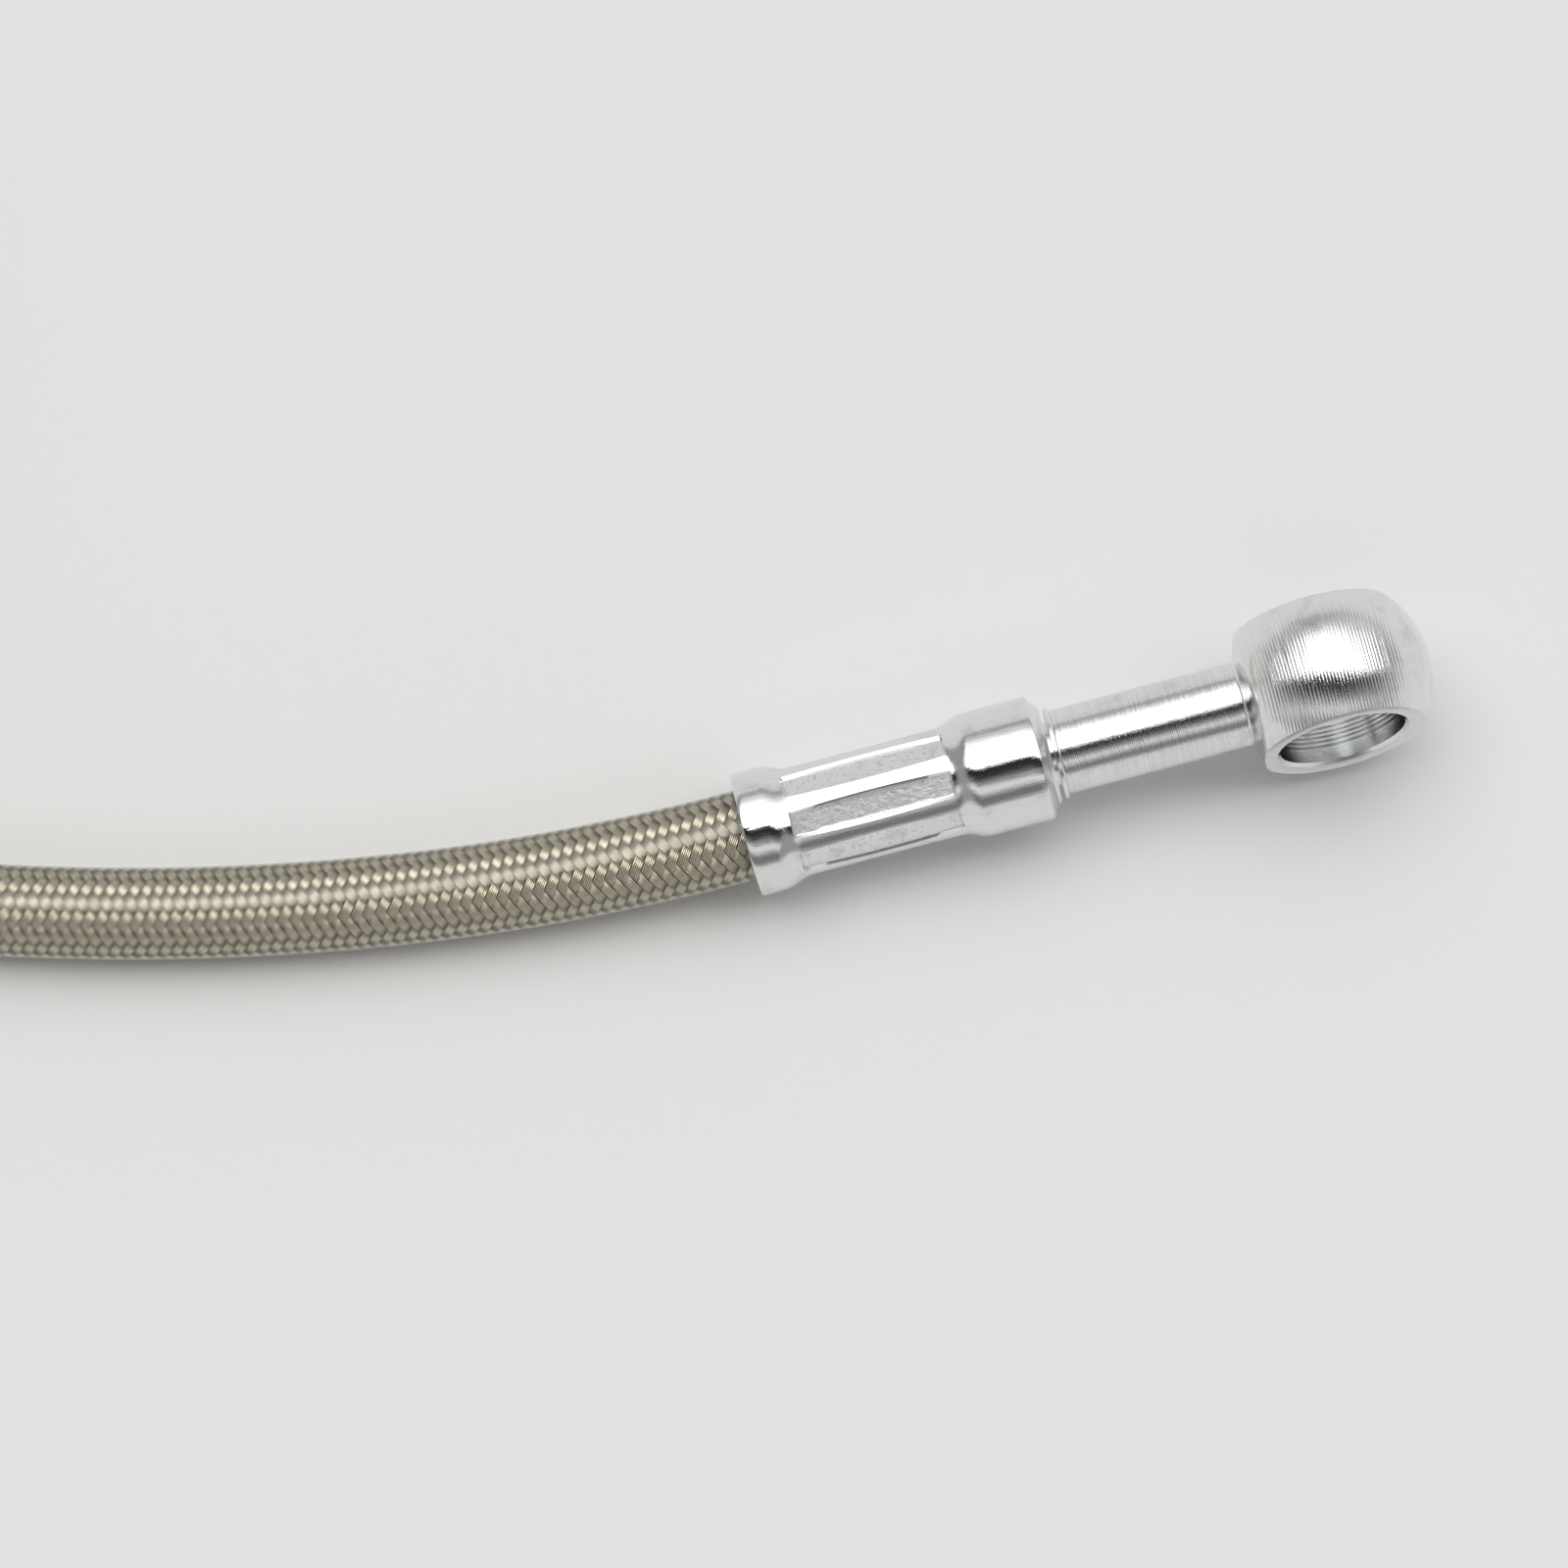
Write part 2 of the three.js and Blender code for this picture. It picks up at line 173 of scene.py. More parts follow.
def cut_away(piece: bpy.types.Object, cutter: bpy.types.Object, sharp_deg: float) -> None:
    """Takes the cutter's solid out of the piece's solid, and removes the cutter."""
    modifier = piece.modifiers.new("cut", "BOOLEAN")
    modifier.operation = "DIFFERENCE"
    modifier.solver = "EXACT"
    modifier.material_mode = "TRANSFER"
    modifier.object = cutter
    depsgraph = bpy.context.evaluated_depsgraph_get()
    cut = bpy.data.meshes.new_from_object(piece.evaluated_get(depsgraph), depsgraph=depsgraph)
    piece.modifiers.clear()
    piece.data = cut
    cut.set_sharp_from_angle(angle=math.radians(sharp_deg))
    bpy.data.objects.remove(cutter)


@dataclass(frozen=True)
class Placement:
    """Where a fitting's own frame lies: a point, and the three directions of its axes as columns."""

    origin: np.ndarray
    axes: np.ndarray

    def carry(self, points: np.ndarray) -> np.ndarray:
        """Points of the fitting's frame as points of the row frame, both in metres."""
        return points @ self.axes.T + self.origin

    def undo(self, points: np.ndarray) -> np.ndarray:
        """Points of the row frame as points of the fitting's frame, both in metres."""
        return (points - self.origin) @ self.axes


def turn(axis: int, degrees: float) -> np.ndarray:
    """A turn about X, Y or Z, numbered from 0, as three columns."""
    c, s = math.cos(math.radians(degrees)), math.sin(math.radians(degrees))
    turned = np.eye(3)
    first, second = (axis + 1) % 3, (axis + 2) % 3
    turned[first, first] = turned[second, second] = c
    turned[first, second], turned[second, first] = -s, s
    return turned


def revolved(profile: np.ndarray, sides: int) -> Surface:
    """A profile turned about the X axis.

    Each profile point (place, radius) becomes a ring: place along X, and radius times the cosine and
    sine of the angle along Y and Z.

    Args:
        profile: places along X and radii, in millimetres, with X growing along the outer side.
        sides: points of each ring.

    Returns:
        The surface, with the place along X and the way round, both in millimetres, as its map.
    """
    angle = FULL_TURN * np.arange(sides + 1) / sides
    x = np.repeat(profile[:, :1], sides, axis=1)
    y = profile[:, 1:] * np.cos(angle[:-1])
    z = profile[:, 1:] * np.sin(angle[:-1])
    points = np.stack([x, y, z], axis=-1) * MM
    way_round = angle * np.abs(profile[:, 1]).max()
    uv = np.stack(np.meshgrid(profile[:, 0], way_round, indexing="ij"), axis=-1)
    return grid(points, closed_v=True, uv=uv, flip=True)


# Shader trees


class Number:
    """A socket that carries a number. Sums and products with it add Math nodes."""

    def __init__(self, nodes: "Nodes", socket: bpy.types.NodeSocket) -> None:
        """Keeps the socket and the tree that new nodes go into."""
        self.nodes = nodes
        self.socket = socket

    def math(self, operation: str, *others: "Number | float") -> "Number":
        """A Math node of that operation on this number and the others."""
        return self.nodes.math(operation, self, *others)

    def __add__(self, other: "Number | float") -> "Number":
        """The sum."""
        return self.math("ADD", other)

    __radd__ = __add__

    def __sub__(self, other: "Number | float") -> "Number":
        """The difference."""
        return self.math("SUBTRACT", other)

    def __rsub__(self, other: float) -> "Number":
        """The difference from a plain number."""
        return self.nodes.math("SUBTRACT", other, self)

    def __mul__(self, other: "Number | float") -> "Number":
        """The product."""
        return self.math("MULTIPLY", other)

    __rmul__ = __mul__

    def __truediv__(self, other: "Number | float") -> "Number":
        """The quotient."""
        return self.math("DIVIDE", other)


class Nodes:
    """A node tree and the one way in which nodes are added to it."""

    def __init__(self, tree: bpy.types.NodeTree) -> None:
        """Takes a tree and empties it."""
        self.tree = tree
        tree.nodes.clear()

    def add(
        self,
        kind: str,
        settings: dict[str, Any] | None = None,
        inputs: dict[str | int, Any] | None = None,
    ) -> bpy.types.Node:
        """A node with its settings, and then the values or links of its sockets.

        Args:
            kind: the node's type.
            settings: its own properties. Stops of a ramp are pairs of a place and a grey or a colour.
            inputs: a number, colour, vector, Number or socket for each named or numbered socket.

        Returns:
            The node.
        """
        node = self.tree.nodes.new(kind)
        for key, value in (settings or {}).items():
            if key == "stops":
                self.set_stops(node.color_ramp, value)
            else:
                setattr(node, key, value)
        for key, value in (inputs or {}).items():
            socket = node.inputs[key]
            if isinstance(value, Number):
                self.tree.links.new(value.socket, socket)
            elif isinstance(value, bpy.types.NodeSocket):
                self.tree.links.new(value, socket)
            else:
                socket.default_value = value
        return node

    def set_stops(self, ramp: bpy.types.ColorRamp, stops: list[tuple[float, Any]]) -> None:
        """Gives a ramp its stops, in the order in which they come."""
        while len(ramp.elements) < len(stops):
            ramp.elements.new(0.5)
        for element, (place, value) in zip(ramp.elements, stops):
            element.position = place
            element.color = (*value, 1) if isinstance(value, tuple) else (value, value, value, 1)

    def math(self, operation: str, *values: "Number | float") -> Number:
        """A Math node on up to three numbers."""
        inputs = dict(enumerate(values))
        return Number(self, self.add("ShaderNodeMath", {"operation": operation}, inputs).outputs[0])

    def mix(self, factor: "Number | float", first: Any, second: Any) -> bpy.types.NodeSocket:
        """A colour between two, each three numbers or a socket, at the factor's share of the way."""
        first, second = ((*c, 1) if isinstance(c, tuple) else c for c in (first, second))
        settings = {"data_type": "RGBA"}
        return self.add("ShaderNodeMix", settings, {0: factor, 6: first, 7: second}).outputs[2]

    def ramp(self, value: Number, stops: list[tuple[float, Any]]) -> bpy.types.NodeSocket:
        """The value put through a ramp."""
        return self.add("ShaderNodeValToRGB", {"stops": stops}, {0: value}).outputs[0]

    def smooth_step(self, value: Number, low: float, high: float) -> Number:
        """0 below low, 1 above high, and smooth between them."""
        settings = {"interpolation_type": "SMOOTHSTEP"}
        node = self.add("ShaderNodeMapRange", settings, {0: value, 1: low, 2: high})
        return Number(self, node.outputs[0])

    def place(self) -> bpy.types.NodeSocket:
        """The place on the piece in millimetres."""
        coordinates = self.add("ShaderNodeTexCoord").outputs["Object"]
        inputs = {0: coordinates, 1: (1 / MM, 1 / MM, 1 / MM)}
        return self.add("ShaderNodeVectorMath", {"operation": "MULTIPLY"}, inputs).outputs[0]

    def map_point(self) -> tuple[Number, Number]:
        """The two numbers of the piece's own map."""
        coordinates = self.add("ShaderNodeUVMap", {"uv_map": "UVMap"}).outputs[0]
        split = self.add("ShaderNodeSeparateXYZ", None, {0: coordinates})
        return Number(self, split.outputs[0]), Number(self, split.outputs[1])

    def vector(self, x: "Number | float", y: "Number | float", z: float = 0) -> bpy.types.NodeSocket:
        """A vector from three numbers."""
        return self.add("ShaderNodeCombineXYZ", None, {0: x, 1: y, 2: z}).outputs[0]

    def vertex_value(self, name: str) -> Number:
        """A number that the piece's vertices carry under that name."""
        settings = {"attribute_name": name, "attribute_type": "GEOMETRY"}
        return Number(self, self.add("ShaderNodeAttribute", settings).outputs["Fac"])

    def noise(
        self, at: bpy.types.NodeSocket, scale: float, detail: float = 3, roughness: float = 0.55
    ) -> Number:
        """Soft noise from 0 to 1 at a place."""
        inputs = {"Vector": at, "Scale": scale, "Detail": detail, "Roughness": roughness}
        node = self.add("ShaderNodeTexNoise", {"noise_dimensions": "3D"}, inputs)
        return Number(self, node.outputs[0])

    def bump(self, height: Number, depth_mm: float, strength: float = 1.0) -> bpy.types.NodeSocket:
        """A normal from a height that runs from 0 to 1 over a depth in millimetres."""
        inputs = {"Height": height, "Distance": depth_mm * MM, "Strength": strength}
        return self.add("ShaderNodeBump", None, inputs).outputs[0]

    def finish(self, shader: bpy.types.NodeSocket, kind: str = "ShaderNodeOutputMaterial") -> None:
        """Ends the tree in that shader."""
        self.add(kind, None, {"Surface": shader})

    def principled(self, **inputs: Any) -> bpy.types.NodeSocket:
        """A Principled shader, whose sockets are named with _ for each space."""
        named = {key.replace("_", " "): value for key, value in inputs.items()}
        return self.add("ShaderNodeBsdfPrincipled", None, named).outputs[0]


def new_material(name: str) -> tuple[bpy.types.Material, Nodes]:
    """An empty node material and its tree."""
    material = bpy.data.materials.new(name)
    material.use_nodes = True
    return material, Nodes(material.node_tree)


class ZincSkin(Enum):
    """How a zinc-plated surface was worked before it was plated."""

    TURNED = "turned"
    BORED = "bored"
    PRESSED = "pressed"


@dataclass(frozen=True)
class ZincFinish:
    """Bright zinc plate over turned, bored or die-pressed steel."""

    skin: ZincSkin
    colour: tuple[float, float, float] = (0.82, 0.83, 0.82)
    # shade: the darker tone of cloudy plating, random rings, pits and streaks, and of the painted shade
    # in the stem's grooves
    shade: tuple[float, float, float] = (0.55, 0.56, 0.56)
    smooth: float = 0.06
    rough: float = 0.18
    satin: float = 0.50

    def build(self, name: str) -> bpy.types.Material:
        """Makes the material.

        Args:
            name: the material's name.

        Returns:
            The material. Cloudy plating varies its colour and gloss, fine rings or grain its normal.
            On turned parts its colour also holds painted shade in the bottoms of the stem's grooves.
        """
        material, nodes = new_material(name)
        place = nodes.place()
        clouds = nodes.noise(place, 0.55, 4)
        specks = nodes.noise(place, 7.0, 2, 0.6)
        along, around = nodes.map_point()
        if self.skin is ZincSkin.PRESSED:
            mask = nodes.smooth_step(nodes.vertex_value("pressed"), 0.8, 1.0)
            streaks = nodes.noise(nodes.vector(along * 0.22, around * 2.6), 1.0, 4, 0.6)
            grain = nodes.noise(place, 2.2, 4, 0.6)
            height = mask * grain + (1 - mask) * (streaks * 0.25 + specks * 0.16)
            depth = 0.04
            pits = nodes.smooth_step(nodes.noise(place, 3.4, 3, 0.7), 0.54, 0.66)
            tone_and_groove_shade = mask * (1 - pits) + (1 - mask) * (0.75 + streaks * 0.4)
            wear = streaks * 0.6
        else:
            rings = nodes.noise(nodes.vector(along, 0.0), 8.0, 3, 0.6)
            chatter = nodes.noise(nodes.vector(along * 8.0, around * 0.5), 1.0, 2, 0.5)
            height = rings * 0.25 + chatter * 0.3 + specks * 0.45
            depth = 0.022
            # Painted shade: the bottoms of the stem's turning grooves are darkened by how deep each
            # vertex lies in them
            groove = nodes.smooth_step(nodes.vertex_value("groove"), 0.35, 0.95)
            tone_and_groove_shade = nodes.smooth_step(rings, 0.2, 0.5) * (1 - groove * 0.75)
            wear = rings * 0.6 + chatter * 0.4
        # Random tone and, on turned parts, the painted groove shade, dimmed further by cloudy plating
        shade = tone_and_groove_shade * nodes.smooth_step(clouds, 0.1, 0.5)
        colour = nodes.mix(shade, self.shade, self.colour)
        roughness = self.smooth + (self.rough - self.smooth) * nodes.smooth_step(wear, 0.2, 0.75)
        if self.skin is ZincSkin.PRESSED:
            roughness = roughness + mask * (self.satin - self.rough)
        normal = nodes.bump(height, depth)
        metal = nodes.principled(Base_Color=colour, Metallic=1.0, Roughness=roughness, Normal=normal)
        nodes.finish(metal)
        return material


@dataclass(frozen=True)
class BraidFinish:
    """Stainless wire, five wires side by side in each ribbon of the braid."""

    wires: int
    colour: tuple[float, float, float] = (0.71, 0.66, 0.55)
    # shade: the dark colour of the painted shade in wire gaps and under crossings, and of random dull
    # patches
    shade: tuple[float, float, float] = (0.055, 0.048, 0.034)
    roughness: float = 0.10
    far_roughness: float = 0.30
    # far_tone: painted shade over the whole far stretch, in place of the shade of wire gaps that its
    # flat mesh lacks
    far_tone: float = 0.87
    depth_mm: float = 0.04
    far_depth_mm: float = 0.012

    def build(self, name: str, wire_bump: bool) -> bpy.types.Material:
        """Makes the material.

        Args:
            name: the material's name.
            wire_bump: raises the wires by shading, for a ribbon whose mesh is flat across, and
                takes the gloss and the tone of the far stretch.

        Returns:
            The material. Its map's second number counts the wires across a ribbon. Its colour
            holds painted shade in the gaps between wires and where a ribbon dives under the
            other way, and random dull patches.
        """
        material, nodes = new_material(name)
        along, across = nodes.map_point()
        place = nodes.place()
        hollow = (across * FULL_TURN).math("COSINE") * 0.5 + 0.5
        dull = nodes.smooth_step(nodes.noise(place, 1.6, 4), 0.35, 0.75)
        # Painted shade: a dark line in the gap between neighbouring wires
        line = nodes.smooth_step(hollow, 0.6, 1.0)
        # Painted shade where a ribbon dives under the other way, by how far it is raised
        dive_shade = 1 - nodes.smooth_step(nodes.vertex_value("raised"), 0.20, 0.85)
        # The painted shade of gaps and crossings, plus random dull patches
        crevice_shade_and_dull = line * 0.3 + dull * 0.1 + dive_shade * 0.9
        # Painted shade: the far stretch is darkened all over, for the wire gaps that its flat mesh
        # doesn't have
        tone = self.far_tone if wire_bump else 1.0
        colour = nodes.mix(crevice_shade_and_dull, tuple(tone * k for k in self.colour), self.shade)
        draw_marks = nodes.noise(nodes.vector(along * 0.6, across * 3.0), 1.0, 4, 0.7)
        least = self.far_roughness if wire_bump else self.roughness
        depth = self.far_depth_mm if wire_bump else self.depth_mm
        roughness = least + draw_marks * 0.10 + dull * 0.06
        height = (1 - hollow) if wire_bump else draw_marks * 0.2
        normal = nodes.bump(height, depth, 0.8)
        metal = nodes.principled(Base_Color=colour, Metallic=1.0, Roughness=roughness, Normal=normal)
        nodes.finish(metal)
        return material


@dataclass(frozen=True)
class CoverFinish:
    """Clear glossy plastic, a little yellow, which lets lamp light through to the braid."""

    tint: tuple[float, float, float] = (0.985, 0.975, 0.935)
    ior: float = 1.45
    roughness: float = 0.008

    def build(self, name: str) -> bpy.types.Material:
        """Makes the material: glass with a faint orange-peel skin, and plain clear for shadows."""
        material, nodes = new_material(name)
        skin = nodes.noise(nodes.place(), 0.9, 3)
        glass = nodes.principled(
            Base_Color=(*self.tint, 1),
            Roughness=self.roughness,
            IOR=self.ior,
            Transmission_Weight=1.0,
            Normal=nodes.bump(skin, 0.02),
        )
        clear = nodes.add("ShaderNodeBsdfTransparent", None, {"Color": (*self.tint, 1)})
        shadow = nodes.add("ShaderNodeLightPath").outputs["Is Shadow Ray"]
        inputs = {0: shadow, 1: glass, 2: clear.outputs[0]}
        nodes.finish(nodes.add("ShaderNodeMixShader", None, inputs).outputs[0])
        return material


@dataclass(frozen=True)
class PlasticFinish:
    """Plain moulded or extruded plastic with a fine uneven skin."""

    colour: tuple[float, float, float]
    shade: tuple[float, float, float]
    roughness: float
    grain: float

    def build(self, name: str) -> bpy.types.Material:
        """Makes the material: two close shades in soft clouds under a fine grain."""
        material, nodes = new_material(name)
        place = nodes.place()
        clouds = nodes.smooth_step(nodes.noise(place, 0.4, 4), 0.35, 0.65)
        grain = nodes.noise(place, self.grain, 3)
        plastic = nodes.principled(
            Base_Color=nodes.mix(clouds, self.shade, self.colour),
            Roughness=self.roughness + grain * 0.15,
            Normal=nodes.bump(grain, 0.02),
        )
        nodes.finish(plastic)
        return material


WAXY_LINER = PlasticFinish((0.78, 0.77, 0.72), (0.70, 0.69, 0.63), 0.4, 3.0)
BLACK_NYLON = PlasticFinish((0.020, 0.020, 0.022), (0.028, 0.028, 0.030), 0.38, 2.2)


# The camera and the light


@dataclass(frozen=True)
class PhotoCamera:
    """The camera at the photograph's place: almost straight above, 390 mm up."""

    place_mm: tuple[float, float, float] = (-37.33, -49.42, 391.81)
    right: tuple[float, float, float] = (0.9686, -0.2487, 0.0)
    up: tuple[float, float, float] = (0.2463, 0.9592, 0.1392)
    forward: tuple[float, float, float] = (0.0346, 0.1348, -0.9903)
    lens: float = 112.5
    sensor: float = 36.0

    def build(self) -> None:
        """Makes the camera and gives it to the scene."""
        data = bpy.data.cameras.new("camera")
        data.lens, data.sensor_width = self.lens, self.sensor
        data.clip_start, data.clip_end = 0.01, 50.0
        camera = bpy.data.objects.new("camera", data)
        bpy.context.scene.collection.objects.link(camera)
        turned = Matrix((self.right, self.up, [-x for x in self.forward])).transposed().to_4x4()
        camera.matrix_world = Matrix.Translation([x * MM for x in self.place_mm]) @ turned
        bpy.context.scene.camera = camera


@dataclass(frozen=True)
class Studio:
    """A plain pale floor under a soft sky: a broad white window on one side, darker overhead."""

    floor_half_mm: float = 4000.0
    floor_colour: tuple[float, float, float] = (0.80, 0.80, 0.79)
    window_side: tuple[float, float] = (0.2487, 0.9686)
    window_end: tuple[float, float] = (0.20, 0.26)
    horizon: tuple[float, float] = (0.22, 0.40)
    strength: float = 3.0
    pale: float = 0.24
    beyond: float = 0.11
    stops: tuple[tuple[float, float], ...] = (
        (0.00, 0.07),
        (0.10, 0.08),
        (0.19, 0.06),
        (0.24, 0.16),
        (0.265, 0.26),
        (0.30, 0.26),
        (0.33, 0.13),
        (0.369, 0.06),
        (0.415, 0.012),
        (0.498, 0.006),
        (0.510, 0.85),
        (0.53, 1.00),
        (0.62, 1.00),
        (0.70, 0.66),
        (0.76, 0.40),
        (0.814, 0.24),
        (0.90, 0.07),
        (1.00, 0.05),
    )

    def build(self) -> None:
        """Makes the floor and the sky."""
        half = self.floor_half_mm
        corners = np.array([[[-half, -half, 0], [-half, half, 0]], [[half, -half, 0], [half, half, 0]]])
        floor = make_object("floor", grid(corners * MM))
        floor.data.materials.append(self.floor_material())
        self.sky()

    def floor_material(self) -> bpy.types.Material:
        """A matt pale surface with hardly any grain."""
        material, nodes = new_material("floor_pale")
        grain = nodes.noise(nodes.place(), 0.8, 3)
        shade = tuple(0.985 * k for k in self.floor_colour)
        colour = nodes.mix(grain, shade, self.floor_colour)
        nodes.finish(nodes.principled(Base_Color=colour, Roughness=0.7, Specular_IOR_Level=0.2))
        return material

    def sky(self) -> None:
        """Light by direction: the tilt from straight up towards the window picks a ramp's stop.

        The window ends on both sides where the tilt along it, in half turns, passes its limit. Near
        the horizon all directions have one pale grey, so that side views show a plain backdrop.
        """
        world = bpy.data.worlds.new("studio_sky")
        world.use_nodes = True
        bpy.context.scene.world = world
        nodes = Nodes(world.node_tree)
        direction = nodes.add("ShaderNodeTexCoord").outputs["Generated"]
        split = nodes.add("ShaderNodeSeparateXYZ", None, {0: direction})
        x, y, z = (Number(nodes, split.outputs[i]) for i in range(3))
        towards = x * self.window_side[0] + y * self.window_side[1]
        tilt = towards.math("ARCTAN2", z) / math.pi + 0.5
        along = x * self.window_side[1] - y * self.window_side[0]
        aside = (along.math("ARCTAN2", z) / math.pi).math("ABSOLUTE")
        past = nodes.smooth_step(aside, *self.window_end)
        light = nodes.mix(past, nodes.ramp(tilt, list(self.stops)), 3 * (self.beyond,))
        high = nodes.smooth_step(z, *self.horizon)
        colour = nodes.mix(high, 3 * (self.pale,), light)
        shader = nodes.add("ShaderNodeBackground", None, {"Color": colour, "Strength": self.strength})
        nodes.finish(shader.outputs[0], "ShaderNodeOutputWorld")


# The hose's way over the floor


# From the near ferrule's mouth to the coil, in metres, as the model's source has it
LEAD_IN = [
    (-0.0367, 0.0002, 0.0045),
    (-0.0447, 0.0007, 0.00405),
    (-0.0536, 0.0017, 0.0038),
    (-0.0635, 0.0033, 0.0037),
    (-0.0743, 0.0056, 0.00368),
    (-0.0849, 0.0085, 0.00368),
    (-0.0953, 0.0119, 0.00368),
    (-0.1055, 0.0160, 0.0037),
    (-0.1155, 0.0206, 0.0038),
    (-0.1244, 0.0253, 0.00405),
    (-0.1321, 0.0298, 0.00435),
    (-0.1396, 0.0348, 0.00465),
    (-0.1445, 0.0382, 0.0048),
]

# From the coil to the far ferrule's mouth
LEAD_OUT = [
    (-0.1674, 0.0873, 0.00493),
    (-0.1658, 0.0933, 0.00496),
    (-0.1642, 0.0994, 0.0050),
    (-0.1626, 0.1056, 0.00504),
]

NEAR_MOUTH = (-0.027743, 0.0, 0.005046)
FAR_MOUTH = (-0.160924, 0.11209, 0.00505)

# The near end touches the ground with its ferrule's rim and its ball, this far apart in millimetres
MOUTH_TO_EYE = 47.607
NEAR_ROLL_DEG = -10.8

# The way that the far end points, along X and Y
FAR_RUN = (7.9, 30.3)


@dataclass(frozen=True)
class Coil:
    """The slack: one turn and a fifth, clockwise from above, which ends one hose width further out."""

    centre: tuple[float, float] = (-126.1, 70.3)
    start_deg: float = -127.7
    sweep_deg: float = 427.0
    inner: float = 36.7
    pitch: float = 7.5
    step_out: tuple[float, float] = (235.0, 310.0)
    hump_deg: float = 326.0
    hump_half_deg: float = 54.0
    hump_height: float = 7.7
    tie_deg: float = -160.7
    tilt_deg: float = 0.78
    lift: float = 0.65
    radius: float = 3.68
    step_deg: float = 7.0

    def points(self) -> np.ndarray:
        """The coil's centreline in metres.

        The angle runs on evenly. The distance from the middle goes from the inner turn to the outer
        one along a smooth step. The height is the hose's radius, plus the tilt of the coil that lies
        on its tie, plus one long cosine hump where the last turn crosses the first.
        """
        turned = np.arange(0.0, self.sweep_deg + 0.1, self.step_deg)
        azimuth = np.radians(self.start_deg - turned)
        low, high = self.step_out
        share = np.clip((turned - low) / (high - low), 0, 1)
        distance = self.inner + self.pitch * share * share * (3 - 2 * share)
        x, y = distance * np.cos(azimuth), distance * np.sin(azimuth)
        tie = math.radians(self.tie_deg)
        towards_tie = x * math.cos(tie) + y * math.sin(tie)
        z = self.radius + self.lift + math.tan(math.radians(self.tilt_deg)) * towards_tie
        off = np.clip((turned - self.hump_deg) / self.hump_half_deg, -1, 1)
        z = z + self.hump_height * np.cos(off * math.pi / 2) ** 2
        return np.stack([x + self.centre[0], y + self.centre[1], z], axis=-1) * MM


class HosePath:
    """The hose's centreline with its length table and the directions across it."""

    def __init__(self, knots: np.ndarray, start: float, step: float = 0.25 * MM) -> None:
        """Draws one smooth curve through the knots.

        Args:
            knots: points that the hose passes, in metres.
            start: the length at the first knot, where 0 is the near ferrule's mouth.
            step: the spacing of the finished table.
        """
        curve = self.through(knots)
        length = self.lengths(curve)
        even = np.arange(0, length[-1], step)
        curve = np.stack([np.interp(even, length, curve[:, k]) for k in range(3)], axis=-1)
        self.points = self.softened(curve)
        self.length = self.lengths(self.points) + start
        tangent = np.gradient(self.points, axis=0)
        tangent /= np.linalg.norm(tangent, axis=1, keepdims=True)
        up = np.array([0.0, 0.0, 1.0]) - tangent * tangent[:, 2:]
        self.up = up / np.linalg.norm(up, axis=1, keepdims=True)
        self.side = np.cross(self.up, tangent)

    @staticmethod
    def through(knots: np.ndarray, samples: int = 40) -> np.ndarray:
        """A centripetal Catmull-Rom curve, whose knots are spaced by the root of their distance.

        Each piece of it is straight lines between neighbouring knots, mixed twice by the place.
        """
        ends = [2 * knots[0] - knots[1], 2 * knots[-1] - knots[-2]]
        p = np.concatenate([ends[:1], knots, ends[1:]])
        gaps = np.sqrt(np.linalg.norm(np.diff(p, axis=0), axis=1))
        t = np.concatenate([[0], np.cumsum(gaps)])
        t0, t1, t2, t3 = (t[k : len(t) - 3 + k, None, None] for k in range(4))
        p0, p1, p2, p3 = (p[k : len(p) - 3 + k, None, :] for k in range(4))
        at = t1 + (t2 - t1) * (np.arange(samples) / samples)[None, :, None]

        def between(low: np.ndarray, high: np.ndarray, a: np.ndarray, b: np.ndarray) -> np.ndarray:
            """The value at each place on the line through a at low and b at high."""
            return (high - at) / (high - low) * a + (at - low) / (high - low) * b

        a1, a2, a3 = between(t0, t1, p0, p1), between(t1, t2, p1, p2), between(t2, t3, p2, p3)
        curve = between(t1, t2, between(t0, t2, a1, a2), between(t1, t3, a2, a3))
        return np.concatenate([curve.reshape(-1, 3), knots[-1:]])

    @staticmethod
    def lengths(points: np.ndarray) -> np.ndarray:
        """The length from the first point to each."""
        return np.concatenate([[0], np.cumsum(np.linalg.norm(np.diff(points, axis=0), axis=1))])

    @staticmethod
    def softened(points: np.ndarray, reach: int = 25) -> np.ndarray:
        """A bell-shaped moving average that leaves both straight ends where they are."""
        bell = np.hanning(2 * reach + 3)[1:-1]
        bell /= bell.sum()
        head = 2 * points[0] - points[reach:0:-1]
        tail = 2 * points[-1] - points[-2 : -reach - 2 : -1]
        padded = np.concatenate([head, points, tail])
        return np.stack([np.convolve(padded[:, k], bell, "valid") for k in range(3)], axis=-1)

    def around(self, s: np.ndarray, angle: np.ndarray, radius: np.ndarray) -> np.ndarray:
        """Points round the hose: the centre at s, plus radius times the direction at that angle.

        Args:
            s: lengths from the near mouth, in metres.
            angle: angles from straight up towards the hose's side, in radians.
            radius: distances from the centreline, in metres.

        Returns:
            Points in the row frame, in the shape of the arguments.
        """

        def read(table: np.ndarray) -> np.ndarray:
            """The table's value at each length."""
            return np.stack([np.interp(s, self.length, table[:, k]) for k in range(3)], axis=-1)

        out = np.cos(angle)[..., None] * read(self.up) + np.sin(angle)[..., None] * read(self.side)
        return read(self.points) + radius[..., None] * out

    def centre(self, s: np.ndarray) -> np.ndarray:
        """Points on the centreline."""
        return np.stack([np.interp(s, self.length, self.points[:, k]) for k in range(3)], axis=-1)


class Lay(Enum):
    """The two ways in which the braid's ribbons wind."""

    LEFT = -1
    RIGHT = 1


@dataclass(frozen=True)
class Stretch:
    """A length of the braid and how finely its ribbons are drawn."""

    start: float
    end: float
    wire_steps: int
    per_crossing: float = 2.0


